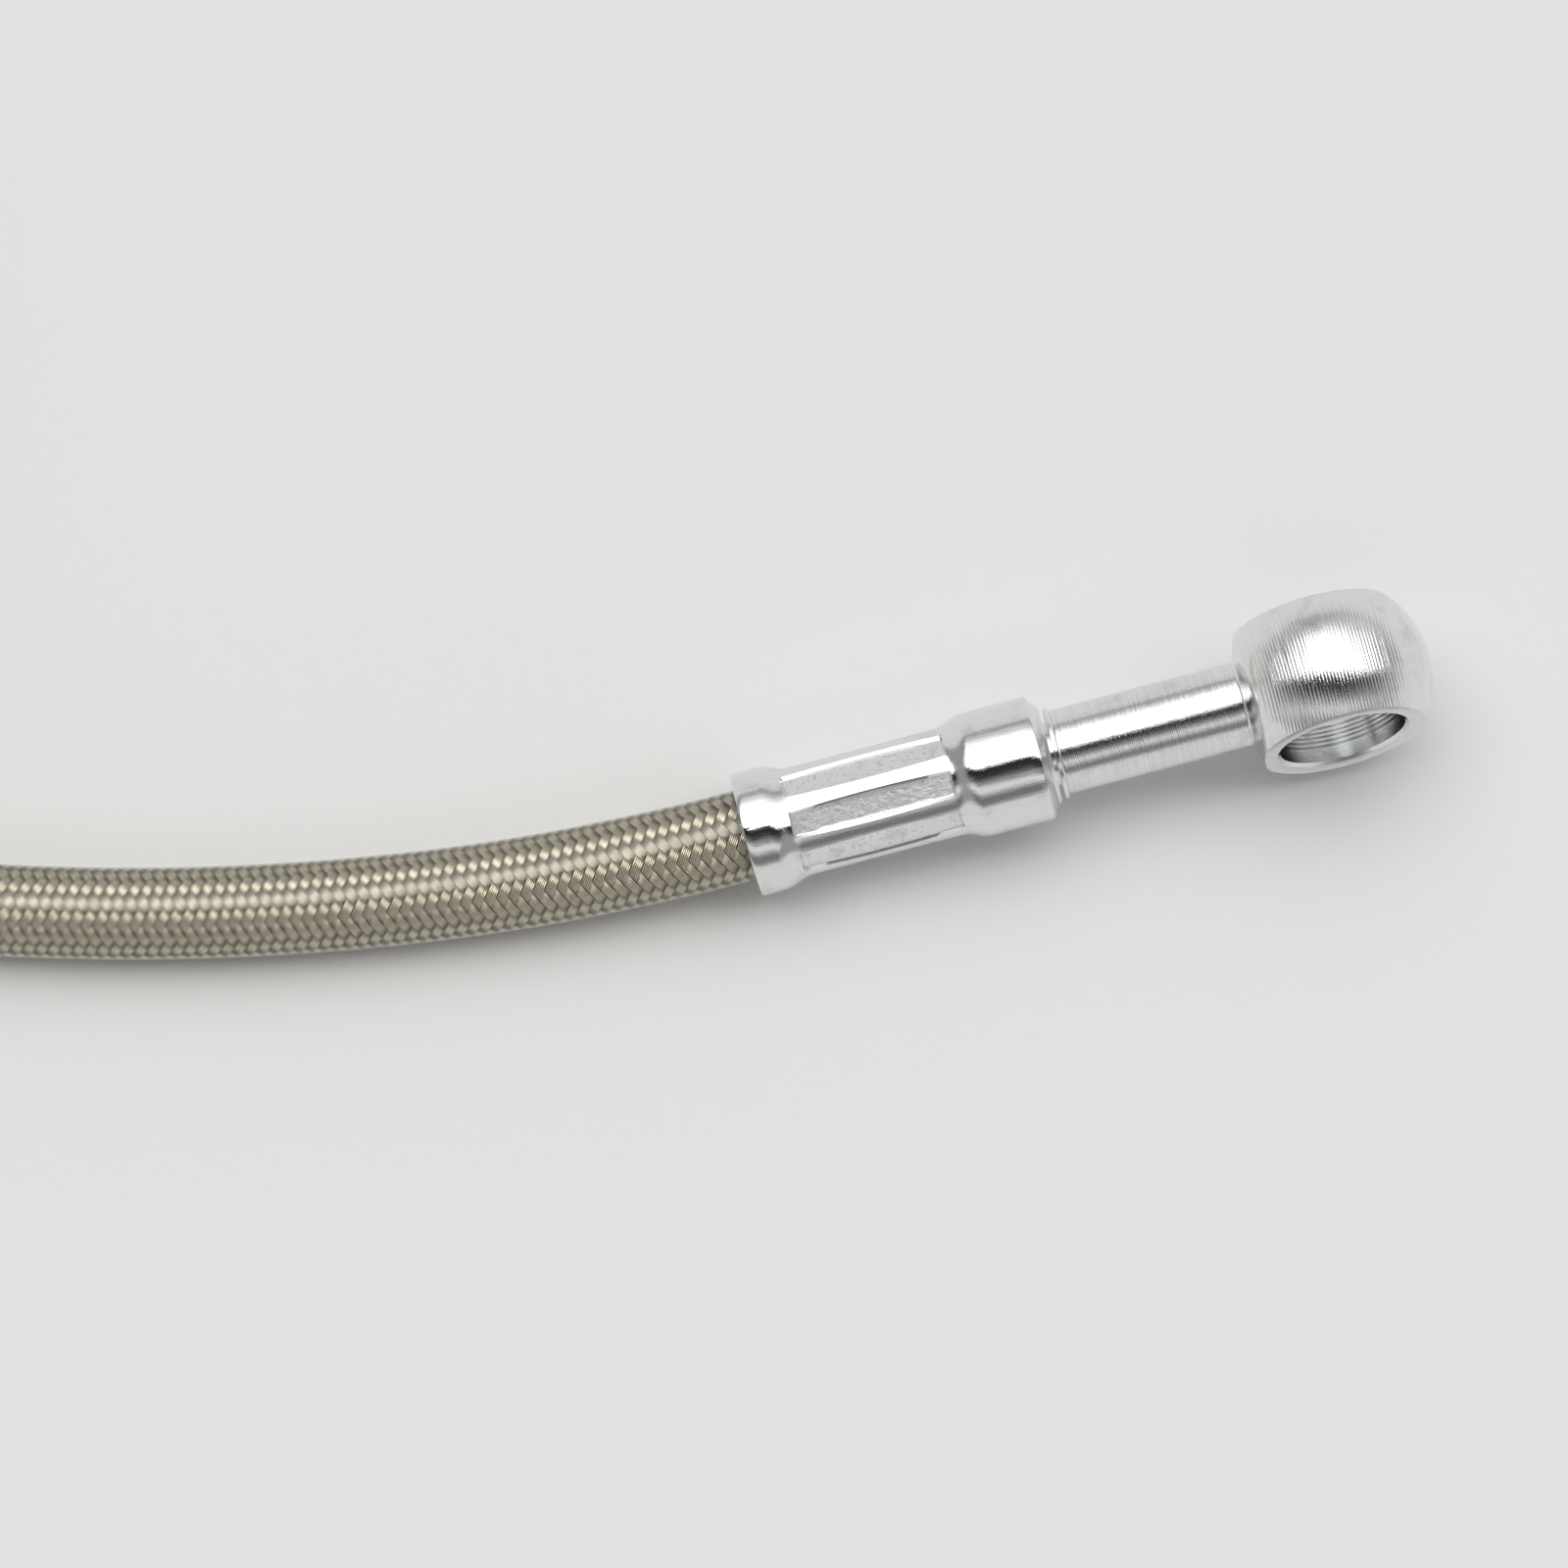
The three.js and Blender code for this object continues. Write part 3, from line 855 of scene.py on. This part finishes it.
@dataclass(frozen=True)
class Braid:
    """A braid of flat ribbons, each over two and under two of the other way. Millimetres."""

    ribbons: int = 14
    wires: int = 5
    lead: float = 13.57
    radius: float = 3.10
    weave: float = 0.135
    ribbon_width: float = 0.76
    wire_height: float = 0.034
    ribbon_thickness: float = 0.11
    row_deg: float = -8.3
    wave_power: float = 0.8

    def family(self, lay: Lay, path: HosePath, stretch: Stretch) -> tuple[Surface, np.ndarray]:
        """All ribbons of one winding direction along a stretch of hose.

        A ribbon's middle is a helix. Its cross-section is square to it, with a row of round wires on
        top. The ribbon's height is a wave over the ribbons that it crosses, up for two and down for
        two, and the other family has the same wave upside down.

        Args:
            lay: which way the ribbons wind.
            path: the hose's centreline.
            stretch: where to draw them, in millimetres from the near mouth, and how finely.

        Returns:
            One closed strip for each ribbon, whose map has the length and the count of wires across;
            and for each vertex how far the ribbon is raised there, from 0 to 1.
        """
        turn = FULL_TURN / self.lead
        spacing = FULL_TURN / self.ribbons
        slope = math.atan(self.radius * turn)
        crossing = self.lead / (2 * self.ribbons)
        count = int((stretch.end - stretch.start) / crossing * stretch.per_crossing) + 2
        s = np.linspace(stretch.start, stretch.end, count)[None, :, None]
        number = np.arange(self.ribbons)[:, None, None]
        across, raised, wire_count = self.cross_section(stretch.wire_steps)
        q, lift = across[None, None, :], raised[None, None, :]
        first = math.radians(self.row_deg) - spacing / 4
        way = lay.value
        angle = first + number * spacing + way * s * turn + q * math.cos(slope) / self.radius
        along = s - way * q * math.sin(slope)
        angle, along, lift = np.broadcast_arrays(angle, along, lift)
        other = (angle + way * along * turn - first) / spacing
        wave = np.cos((other + number - 0.5) * math.pi / 2)
        wave = np.sign(wave) * np.abs(wave) ** self.wave_power
        height = wave if lay is Lay.LEFT else -wave
        radius = self.radius + self.weave * height + lift
        points = path.around(along * MM, angle, radius * MM)
        surface = joined([self.strip(p, s[0, :, 0], wire_count) for p in points])
        return surface, (height + 1) / 2

    def cross_section(self, wire_steps: int) -> tuple[np.ndarray, np.ndarray, np.ndarray]:
        """A ribbon's outline: wires as half rounds on top, a flat underneath.

        Args:
            wire_steps: faces for each wire, or 0 for a flat top over one edge underneath.

        Returns:
            Places across and heights in millimetres, and the count of wires at each place.
        """
        half = self.ribbon_width / 2
        base = -self.ribbon_thickness
        if not wire_steps:
            across = np.array([-half, half, 0])
            raised = np.array([self.wire_height / 2, self.wire_height / 2, base])
            return across, raised, np.array([0, self.wires, 0])
        step = np.arange(self.wires * wire_steps + 1) / wire_steps
        inside = np.minimum(step % 1, 1 - step % 1)
        top = self.wire_height * np.sqrt(np.clip(1 - (1 - 2 * inside) ** 2, 0, 1))
        place = (step / self.wires * 2 - 1) * half
        across = np.concatenate([place, [half, -half]])
        raised = np.concatenate([top, [base, base]])
        count = np.concatenate([step, [self.wires, 0]])
        return across, raised, count

    def strip(self, points: np.ndarray, s: np.ndarray, count: np.ndarray) -> Surface:
        """One ribbon as a closed strip with both ends capped."""
        columns = points.shape[1]
        wrapped = np.concatenate([count, count[:1]])
        uv = np.stack(np.meshgrid(s, wrapped, indexing="ij"), axis=-1)
        body = grid(points, closed_v=True, uv=uv)
        first = np.arange(columns)[None, :]
        last = (np.arange(columns)[::-1] + (len(points) - 1) * columns)[None, :]
        caps_uv = np.zeros((1, columns, 2))
        return Surface(
            body.vertices, [*body.faces, first, last], [*body.corner_uv, caps_uv, caps_uv]
        )


def tube_wall(
    path: HosePath, sides: int, stations: np.ndarray, outer: np.ndarray, inner: np.ndarray
) -> Surface:
    """A tube's wall along the hose, between two radii that may change.

    The outer side runs forwards and the inner side back, so that one closed grid holds both.

    Args:
        path: the hose's centreline.
        sides: points round the tube.
        stations: lengths from the near mouth, in millimetres.
        outer: the outer radius at each station, in millimetres.
        inner: the inner radius at each station, in millimetres.

    Returns:
        The closed wall.
    """
    s = np.concatenate([stations, stations[::-1]])
    radius = np.concatenate([outer, inner[::-1]])
    angle = FULL_TURN * np.arange(sides) / sides
    s_grid, angle_grid = np.meshgrid(s, angle, indexing="ij")
    radius_grid = np.repeat(radius[:, None], sides, axis=1)
    points = path.around(s_grid * MM, angle_grid, radius_grid * MM)
    way = np.concatenate([s, s[:1]])
    turn = np.linspace(0, FULL_TURN, sides + 1)
    uv = np.stack(np.meshgrid(way, turn, indexing="ij"), axis=-1)
    return grid(points, closed_u=True, closed_v=True, uv=uv)


@dataclass
class Hose:
    """The whole hose: liner, braid and clear cover, from one ferrule to the other."""

    coil: Coil
    braid: Braid
    diameter: float = 7.36
    length: float = 455.0
    cover_inner: float = 2.86
    liner_outer: float = 2.84
    liner_bore: float = 1.6
    end_outer: float = 3.05
    end_inner: float = 2.2
    straight_knots: tuple[float, ...] = (22.0, 16.0, 10.0, 5.0, 1.5, -0.3, -3.98)
    mouth_depth: float = 1.4
    fine_end: float = 67.0
    cover_sides: int = 64
    cover_step: float = 1.0
    liner_sides: int = 24
    liner_step: float = 2.0
    liner_taper: tuple[float, float] = (0.6, 1.9)
    path_step: float = 4.0
    sharp_deg: float = 55.0
    near_axis: tuple[float, float, float] = (0.99759, 0.0, 0.06932)
    far_axis: tuple[float, float, float] = (0.2523, 0.9676, 0.0)
    path: HosePath = field(init=False)
    end: float = field(init=False)

    def __post_init__(self) -> None:
        """Draws the centreline and measures it between the ferrules' mouths."""
        near, far = np.array(NEAR_MOUTH), np.array(FAR_MOUTH)
        inside = np.array(self.straight_knots)[:, None] * MM
        near_knots = near + inside * np.array(self.near_axis)
        far_knots = far + inside[::-1] * np.array(self.far_axis)
        knots = [near_knots, np.array(LEAD_IN), self.coil.points(), np.array(LEAD_OUT), far_knots]
        self.path = HosePath(np.concatenate(knots), -self.inside_ferrule * MM)
        self.end = (self.path.length[-1] - self.inside_ferrule * MM) / MM
        log.info("hose length between the ferrules %.1f mm", self.end)

    @property
    def inside_ferrule(self) -> float:
        """How far the hose reaches into a ferrule."""
        return self.straight_knots[0]

    def build(self) -> dict[str, bpy.types.Object]:
        """Makes the hose's pieces.

        Returns:
            The new pieces by name.
        """
        wire = BraidFinish(self.braid.wires)
        fine = wire.build("braid_wire", False)
        coarse = wire.build("braid_wire_far", True)
        pieces = {}
        stretches = {
            "": Stretch(-self.mouth_depth, self.fine_end, wire_steps=3),
            "_rest": Stretch(self.fine_end, self.end + self.mouth_depth, wire_steps=0),
        }
        for lay in Lay:
            for tail, stretch in stretches.items():
                name = f"braid_{lay.name.lower()}{tail}"
                surface, raised = self.braid.family(lay, self.path, stretch)
                piece = make_object(name, surface, self.sharp_deg)
                set_values(piece, "raised", raised)
                piece.data.materials.append(coarse if tail else fine)
                pieces[name] = enter(piece)
        pieces["hose_liner"] = self.liner()
        pieces["hose_cover"] = self.cover()
        return pieces

    def liner(self) -> bpy.types.Object:
        """The waxy inner tube, pressed thin between nipple and ferrule at both ends."""
        wide, narrow = self.liner_taper
        near = np.array([wide - self.inside_ferrule, -narrow, -wide])
        middle = np.arange(0.5, self.end, self.liner_step)
        stations = np.concatenate([near, middle, self.end - near[::-1]])
        thin = np.isin(np.arange(len(stations)), [0, 1, len(stations) - 2, len(stations) - 1])
        outer = np.where(thin, self.end_outer, self.liner_outer)
        inner = np.where(thin, self.end_inner, self.liner_bore)
        wall = tube_wall(self.path, self.liner_sides, stations, outer, inner)
        piece = make_object("hose_liner", wall)
        piece.data.materials.append(WAXY_LINER.build("liner_waxy"))
        return enter(piece)

    def cover(self) -> bpy.types.Object:
        """The clear cover. The braid lies in its wall, as it does in the real one."""
        stations = np.arange(-self.mouth_depth, self.end + self.mouth_depth, self.cover_step)
        outer = np.full(len(stations), self.diameter / 2)
        inner = np.full(len(stations), self.cover_inner)
        wall = tube_wall(self.path, self.cover_sides, stations, outer, inner)
        piece = make_object("hose_cover", wall)
        piece.data.materials.append(CoverFinish().build("cover_clear"))
        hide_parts("hose_lead_in", "hose_coil", "hose_lead_out")
        return enter(piece)

    def declare(self, pieces: dict[str, bpy.types.Object], others: list[Any]) -> None:
        """Samples the hose's centreline and lists what lies in it and on it, but passes them on to
        nothing.
        """
        line = self.path.centre(np.arange(0.0, self.end + 1.0, self.path_step) * MM)
        [p for n, p in pieces.items() if n != "hose_cover"] + others


# The ends


@dataclass(frozen=True)
class Ridges:
    """Fine grooves that a turning tool leaves, each a little unlike the next."""

    start: float
    end: float
    pitch: float
    depth: float
    seed: int
    uneven: float = 0.1
    per_ridge: int = 4

    def borders(self) -> np.ndarray:
        """Where one groove ends and the next starts. Each width is off by a share of up to uneven."""
        count = int(round((self.end - self.start) / self.pitch))
        widths = np.random.default_rng(self.seed).uniform(1 - self.uneven, 1 + self.uneven, count)
        reached = np.concatenate([[0], np.cumsum(widths)])
        return self.start + (self.end - self.start) * reached / reached[-1]

    def places(self) -> np.ndarray:
        """Where along the axis the profile needs points."""
        borders = self.borders()
        step = np.arange((len(borders) - 1) * self.per_ridge + 1) / self.per_ridge
        return np.interp(step, np.arange(len(borders)), borders)

    def height(self, place: np.ndarray) -> np.ndarray:
        """How far each place is lowered: a cosine wave for each groove, with its own depth."""
        borders = self.borders()
        turn = np.interp(place, borders, np.arange(len(borders)))
        number = np.floor(turn + TINY).astype(int)
        random = np.random.default_rng(self.seed + 1)
        share_of_depth = random.uniform(0.6, 1.0, len(borders))[number]
        wave = 0.5 - 0.5 * np.cos(FULL_TURN * turn)
        inside = (place > self.start + TINY) & (place < self.end - TINY)
        return np.where(inside, -self.depth * share_of_depth * wave, 0.0)


@dataclass
class BanjoFitting:
    """One turned banjo fitting in its own frame: X from the ferrule's mouth to the eye. Millimetres."""

    name: str
    placement: Placement
    eye_radius: float = 8.35
    half_flats: float = 5.05
    bore_radius: float = 5.1
    chamfer: float = 0.25
    flat_edge: float = 6.56
    stem_radius: float = 3.45
    stem_start: float = 25.65
    stem_end: float = 40.55
    neck_top: float = 41.6
    neck_radius: float = 5.8
    shoulder_start: float = 25.25
    shoulder_radius: float = 3.75
    throat_radius: float = 2.6
    nipple_radius: float = 1.7
    nipple_start: float = 1.2
    barb: float = 0.2
    barb_starts: tuple[float, ...] = (3.6, 7.2, 10.8)
    barb_rise: float = 2.04
    barb_length: float = 2.4
    throat_start: float = 22.45
    oil_way: float = 0.95
    groove_depth: float = 0.019
    groove_pitch: float = 0.17
    ball_ridged: float = 5.6
    ball_pitch: float = 0.26
    ball_groove_depth: float = 0.042
    cap_lowering: float = 0.01
    bore_plain: float = 1.2
    bore_pitch: float = 0.38
    bore_groove_depth: float = 0.03
    sides: int = 96
    bore_sides: int = 160
    way_sides: int = 32
    sharp_deg: float = 32.0

    @property
    def eye_centre(self) -> float:
        """Where the ball's middle is along the axis."""
        return self.neck_top + math.sqrt(self.eye_radius**2 - self.neck_radius**2)

    def nipple_profile(self) -> np.ndarray:
        """The barbed nipple, its throat and the small shoulder."""
        points = [(self.nipple_start, 0.0), (self.nipple_start, self.nipple_radius - self.barb)]
        points.append((self.nipple_start + self.barb, self.nipple_radius))
        for start in self.barb_starts:
            points.append((start, self.nipple_radius))
            points.append((start + self.barb_rise, self.nipple_radius + self.barb))
            points.append((start + self.barb_length, self.nipple_radius))
        points.append((self.throat_start - 0.3, self.nipple_radius))
        points.append((self.throat_start, self.throat_radius))
        points += [(self.shoulder_start, self.throat_radius)]
        round_edge = 0.08
        points += [
            (self.shoulder_start, self.shoulder_radius - round_edge),
            (self.shoulder_start + round_edge, self.shoulder_radius),
            (self.stem_start - round_edge, self.shoulder_radius),
            (self.stem_start, self.shoulder_radius - round_edge),
            (self.stem_start, self.stem_radius - 0.06),
        ]
        return np.array(points)

    def stem_profile(self) -> np.ndarray:
        """The stem with its fine turning ridges and a crisp end."""
        ridges = Ridges(
            self.stem_start + 0.25,
            self.stem_end - 0.15,
            self.groove_pitch,
            self.groove_depth,
            seed=11,
            uneven=0.03,
        )
        place = ridges.places()
        body = np.stack([place, self.stem_radius + ridges.height(place)], axis=-1)
        start = [(self.stem_start + 0.06, self.stem_radius - 0.02)]
        end = [(self.stem_end - 0.03, self.stem_radius), (self.stem_end, self.stem_radius - 0.04)]
        return np.concatenate([start, body, end])

    def neck_profile(self) -> np.ndarray:
        """A hollow that starts just under the stem's surface and flares steeply to the ball.

        It is a cubic curve with four control points.
        """
        foot = self.stem_radius - 0.1
        length = self.neck_top - self.stem_end
        control = np.array(
            [
                (self.stem_end, foot),
                (self.stem_end + 0.55 * length, foot),
                (self.stem_end + 0.45 * length, foot + 0.8 * (self.neck_radius - foot)),
                (self.neck_top, self.neck_radius),
            ]
        )
        t = np.linspace(0, 1, 17)[:-1, None]
        weights = [(1 - t) ** 3, 3 * t * (1 - t) ** 2, 3 * t * t * (1 - t), t**3]
        return sum(w * c for w, c in zip(weights, control))

    def ball_profile(self) -> np.ndarray:
        """The ball: smooth near the neck and at its far cap, ridged between."""
        centre, reach = self.eye_centre, self.ball_ridged
        ridges = Ridges(centre - reach, centre + reach, self.ball_pitch, self.ball_groove_depth, seed=5)
        before = np.linspace(self.neck_top, ridges.start, 4)[:-1]
        angle = np.linspace(math.acos(reach / self.eye_radius), 0, 16)[1:]
        after = centre + self.eye_radius * np.cos(angle)
        place = np.concatenate([before, ridges.places(), after])
        radius = np.sqrt(np.clip(self.eye_radius**2 - (place - centre) ** 2, 0, None))
        lowered = ridges.height(place) - np.where(place > ridges.end + TINY, self.cap_lowering, 0.0)
        radius = np.where(radius > 0.05, radius + lowered, radius)
        radius[-1] = 0.0
        return np.stack([place, radius], axis=-1)

    def spool(self) -> Surface:
        """What is cut from the ball: the bore with its chamfers and rings, and all beyond both flats.

        The profile is turned about the bore's own axis, which crosses the ball's middle along Y.
        """
        reach, rim, far = 7.0, 14.0, 9.5
        flat, bore = self.half_flats, self.bore_radius
        ridged = flat - self.bore_plain
        grooves = Ridges(-ridged, ridged, self.bore_pitch, self.bore_groove_depth, seed=23)
        place = grooves.places()
        wall = np.stack([place, bore + np.abs(grooves.height(place))], axis=-1)
        ring = [(flat - self.chamfer, bore), (flat, bore + self.chamfer)]
        edge = [(flat, self.flat_edge), (flat + 0.09, self.flat_edge + 0.16), (far, rim)]
        side = np.array([*ring, *edge, (far + reach, rim), (far + reach, 0.0)])
        mirrored = side[::-1] * np.array([-1.0, 1.0])
        profile = np.concatenate([mirrored, wall, side])
        turned = revolved(profile, self.bore_sides)
        swap = np.array([[0, -1, 0], [1, 0, 0], [0, 0, 1]])
        vertices = turned.vertices @ swap.T + np.array([self.eye_centre * MM, 0, 0])
        return Surface(vertices, turned.faces, turned.corner_uv)

    def groove_share(self, piece: bpy.types.Object) -> np.ndarray:
        """How deep each vertex lies in the stem's grooves, from 0 to 1.

        It is the stem's radius less the vertex's distance from the axis, as a share of the full depth.
        """
        place = np.empty(len(piece.data.vertices) * 3)
        piece.data.vertices.foreach_get("co", place)
        x, y, z = self.placement.undo(place.reshape(-1, 3)).T / MM
        on_stem = (x > self.stem_start + 0.2) & (x < self.stem_end - 0.1)
        share = (self.stem_radius - np.hypot(y, z)) / self.groove_depth
        return np.where(on_stem, np.clip(share, 0, 1), 0.0)

    def drill(self) -> Surface:
        """What is cut for the oil way: a thin rod from the hose's end to the middle of the bore."""
        ends = (0.0, self.eye_centre)
        way = [(ends[0], 0.0), (ends[0], self.oil_way), (ends[1], self.oil_way), (ends[1], 0.0)]
        return revolved(np.array(way), self.way_sides)

    def build(self, turned: bpy.types.Material, bored: bpy.types.Material) -> bpy.types.Object:
        """Makes the fitting.

        Args:
            turned: the finish of all that was turned.
            bored: the finish of the flats, the bore and the oil way.

        Returns:
            The piece, which replaces its CAD node.
        """
        profile = np.concatenate(
            [self.nipple_profile(), self.stem_profile(), self.neck_profile(), self.ball_profile()]
        )
        piece = make_object(self.name, revolved(profile, self.sides).moved(self.placement))
        merge_doubles(piece)
        piece.data.materials.append(turned)
        for name, surface in {"spool": self.spool(), "drill": self.drill()}.items():
            tool = make_object(name, surface.moved(self.placement))
            merge_doubles(tool)
            tool.data.materials.append(bored)
            cut_away(piece, tool, self.sharp_deg)
        # The turned finish paints shade into the stem's grooves by this value
        set_values(piece, "groove", self.groove_share(piece))
        return enter(piece)


@dataclass
class Ferrule:
    """One crimped ferrule in the fitting's frame, pressed by eight dies. Millimetres."""

    name: str
    placement: Placement
    length: float = 24.95
    radius: float = 5.05
    lip: float = 0.2
    crest: float = 4.46
    mouth_radius: float = 4.0
    mouth_depth: float = 1.6
    bore: float = 3.35
    ring_end: float = 2.05
    crimp_start: float = 3.8
    crimp_end: float = 17.0
    collar_start: float = 18.9
    collar_end: float = 24.0
    seat: float = 22.45
    back_bore: float = 2.9
    dies: int = 8
    die_width: float = 2.35
    die_depth: float = 0.18
    die_wall: float = 0.18
    die_slope_deg: float = 3.5
    first_die_deg: float = 21.0
    die_bow: float = 0.14
    sharp_deg: float = 30.0

    def base_radius(self, x: np.ndarray) -> np.ndarray:
        """The ferrule before the dies: mouth ring, waist and collar, joined by smooth tapers."""

        def rise(low: float, high: float) -> np.ndarray:
            """A smooth step from 0 to 1 between two places."""
            share = np.clip((x - low) / (high - low), 0, 1)
            return share * share * (3 - 2 * share)

        narrowing = rise(self.ring_end, self.crimp_start + 0.5)
        widening = rise(self.crimp_end - 0.3, self.collar_start)
        return self.radius - (self.radius - self.crest) * (narrowing - widening)

    def places(self) -> np.ndarray:
        """Places along the axis, closer together where the radius changes fast."""
        start, end, wall = self.crimp_start, self.crimp_end, self.die_wall
        runs = [
            np.linspace(self.lip, self.ring_end, 5),
            np.linspace(self.ring_end, start, 17),
            [start + wall, start + 2 * wall],
            np.linspace(start + 0.6, end - 0.6, 22),
            [end - 2 * wall, end - wall, end],
            np.linspace(end, self.collar_start, 19),
            np.linspace(self.collar_start, self.collar_end, 8),
        ]
        return np.unique(np.concatenate(runs))

    def ends(self) -> tuple[np.ndarray, np.ndarray]:
        """The profile before the first place, and after the last one and back through the bore."""
        rim, end = self.radius, self.length
        head = [(0.0, self.mouth_radius), (0.0, rim - self.lip), (0.06, rim - 0.06)]
        tail = [
            (end - 0.83, rim - 0.05),
            (end - 0.65, rim - 0.32),
            (end - 0.33, rim - 0.8),
            (end - 0.27, rim - 0.93),
            (end, rim - 1.1),
            (end, self.back_bore),
            (self.seat, self.back_bore),
            (self.seat, self.bore),
            (self.mouth_depth + 0.3, self.bore),
            (self.mouth_depth, self.mouth_radius),
        ]
        return np.array(head), np.array(tail)

    def build(self, finish: bpy.types.Material) -> bpy.types.Object:
        """Makes the ferrule as one closed sleeve.

        The outer radius is that of the waist, lowered inside each die's print to a flat: the distance
        of the flat over the cosine of the angle from the print's middle.

        Args:
            finish: its material, which reads where the dies pressed.

        Returns:
            The piece, which replaces its CAD node.
        """
        wall, slope = self.die_wall, self.die_slope_deg
        x = self.places()
        half = math.degrees(math.asin(self.die_width / 2 / self.crest))
        step = 360 / self.dies
        rib = step / 2
        flat = np.linspace(-half + 2 * slope, half - 2 * slope, 9)
        ridge = np.linspace(half, step - half, 7)
        one = np.concatenate([[-half + slope], flat, [half - slope], ridge])
        local = np.tile(one, self.dies)
        angle_deg = np.concatenate([one + step * k for k in range(self.dies)]) + self.first_die_deg
        print_x = np.clip(np.minimum(x - self.crimp_start, self.crimp_end - x) / wall, 0, 1)
        print_angle = np.clip((half - np.abs(local)) / slope, 0, 1)
        mask = print_x[:, None] * print_angle[None, :]
        share = np.clip((x - self.crimp_start) / (self.crimp_end - self.crimp_start), 0, 1)
        wide = half * (1 + self.die_bow * (4 * share * (1 - share) - 0.6))[:, None]
        on_rib = rib + (local - rib) * (rib - wide) / (rib - half)
        bowed = np.where(np.abs(local) <= half, local * wide / half, on_rib)
        base = np.repeat(self.base_radius(x)[:, None], len(local), axis=1)
        distance = math.sqrt(self.crest**2 - (self.die_width / 2) ** 2) - self.die_depth
        floor = distance / np.cos(np.radians(np.clip(bowed, -wide, wide)))
        outer = base * (1 - mask) + floor * mask
        head, tail = self.ends()
        count = len(local)
        place = np.concatenate([head[:, 0], x, tail[:, 0]])
        radius = np.concatenate(
            [np.repeat(head[:, 1:], count, axis=1), outer, np.repeat(tail[:, 1:], count, axis=1)]
        )
        shift = np.zeros((len(place), count))
        shift[len(head) : len(head) + len(x)] = bowed - local
        angle = np.radians(angle_deg)
        bent = np.radians(angle_deg + shift)
        points = np.stack(
            [np.repeat(place[:, None], count, axis=1), radius * np.cos(bent), radius * np.sin(bent)],
            axis=-1,
        )
        run = np.concatenate([place, place[:1]])
        round_way = np.concatenate([angle, angle[:1] + FULL_TURN]) * self.radius
        uv = np.stack(np.meshgrid(run, round_way, indexing="ij"), axis=-1)
        surface = grid(points * MM, closed_u=True, closed_v=True, uv=uv, flip=True)
        piece = make_object(self.name, surface.moved(self.placement), self.sharp_deg)
        pressed = np.zeros(radius.shape)
        pressed[len(head) : len(head) + len(x)] = mask
        set_values(piece, "pressed", pressed)
        piece.data.materials.append(finish)
        return enter(piece)


def near_placement() -> Placement:
    """The near end: on its ball and its ferrule's rim, rolled a little."""
    pitch = math.degrees(math.asin((BanjoFitting.eye_radius - Ferrule.radius) / MOUTH_TO_EYE))
    return Placement(np.array(NEAR_MOUTH), turn(1, -pitch) @ turn(0, NEAR_ROLL_DEG))


def far_placement() -> Placement:
    """The far end: flat on a washer face, in line with the last of the hose."""
    heading = math.degrees(math.atan2(FAR_RUN[1], FAR_RUN[0]))
    return Placement(np.array(FAR_MOUTH), turn(2, heading) @ turn(0, 90))


def main() -> None:
    """Builds the camera, the hose, both ends, the tie and the studio, in that order."""
    logging.basicConfig(level=logging.INFO, format="%(message)s")
    bpy.context.scene.view_settings.view_transform = "Standard"
    PhotoCamera().build()
    hose = Hose(Coil(), Braid())
    hose_pieces = hose.build()
    turned = ZincFinish(ZincSkin.TURNED).build("zinc_turned")
    bored = ZincFinish(ZincSkin.BORED).build("zinc_bored")
    pressed = ZincFinish(ZincSkin.PRESSED).build("zinc_pressed")
    ends = {}
    for side, placement in {"near": near_placement(), "far": far_placement()}.items():
        ends[f"{side}_banjo"] = BanjoFitting(f"{side}_banjo", placement).build(turned, bored)
        ends[f"{side}_ferrule"] = Ferrule(f"{side}_ferrule", placement).build(pressed)
    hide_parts("banjo_fitting")
    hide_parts("crimp_ferrule")
    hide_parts("far_banjo_fitting")
    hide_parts("far_crimp_ferrule")
    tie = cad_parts["coil_tie"]
    tie.data.materials.clear()
    tie.data.materials.append(BLACK_NYLON.build("tie_black"))
    hose.declare(hose_pieces, [ends["far_banjo"], ends["far_ferrule"], tie])
    Studio().build()
    log.info("all pieces made")


if __name__ == "__main__":
    main()
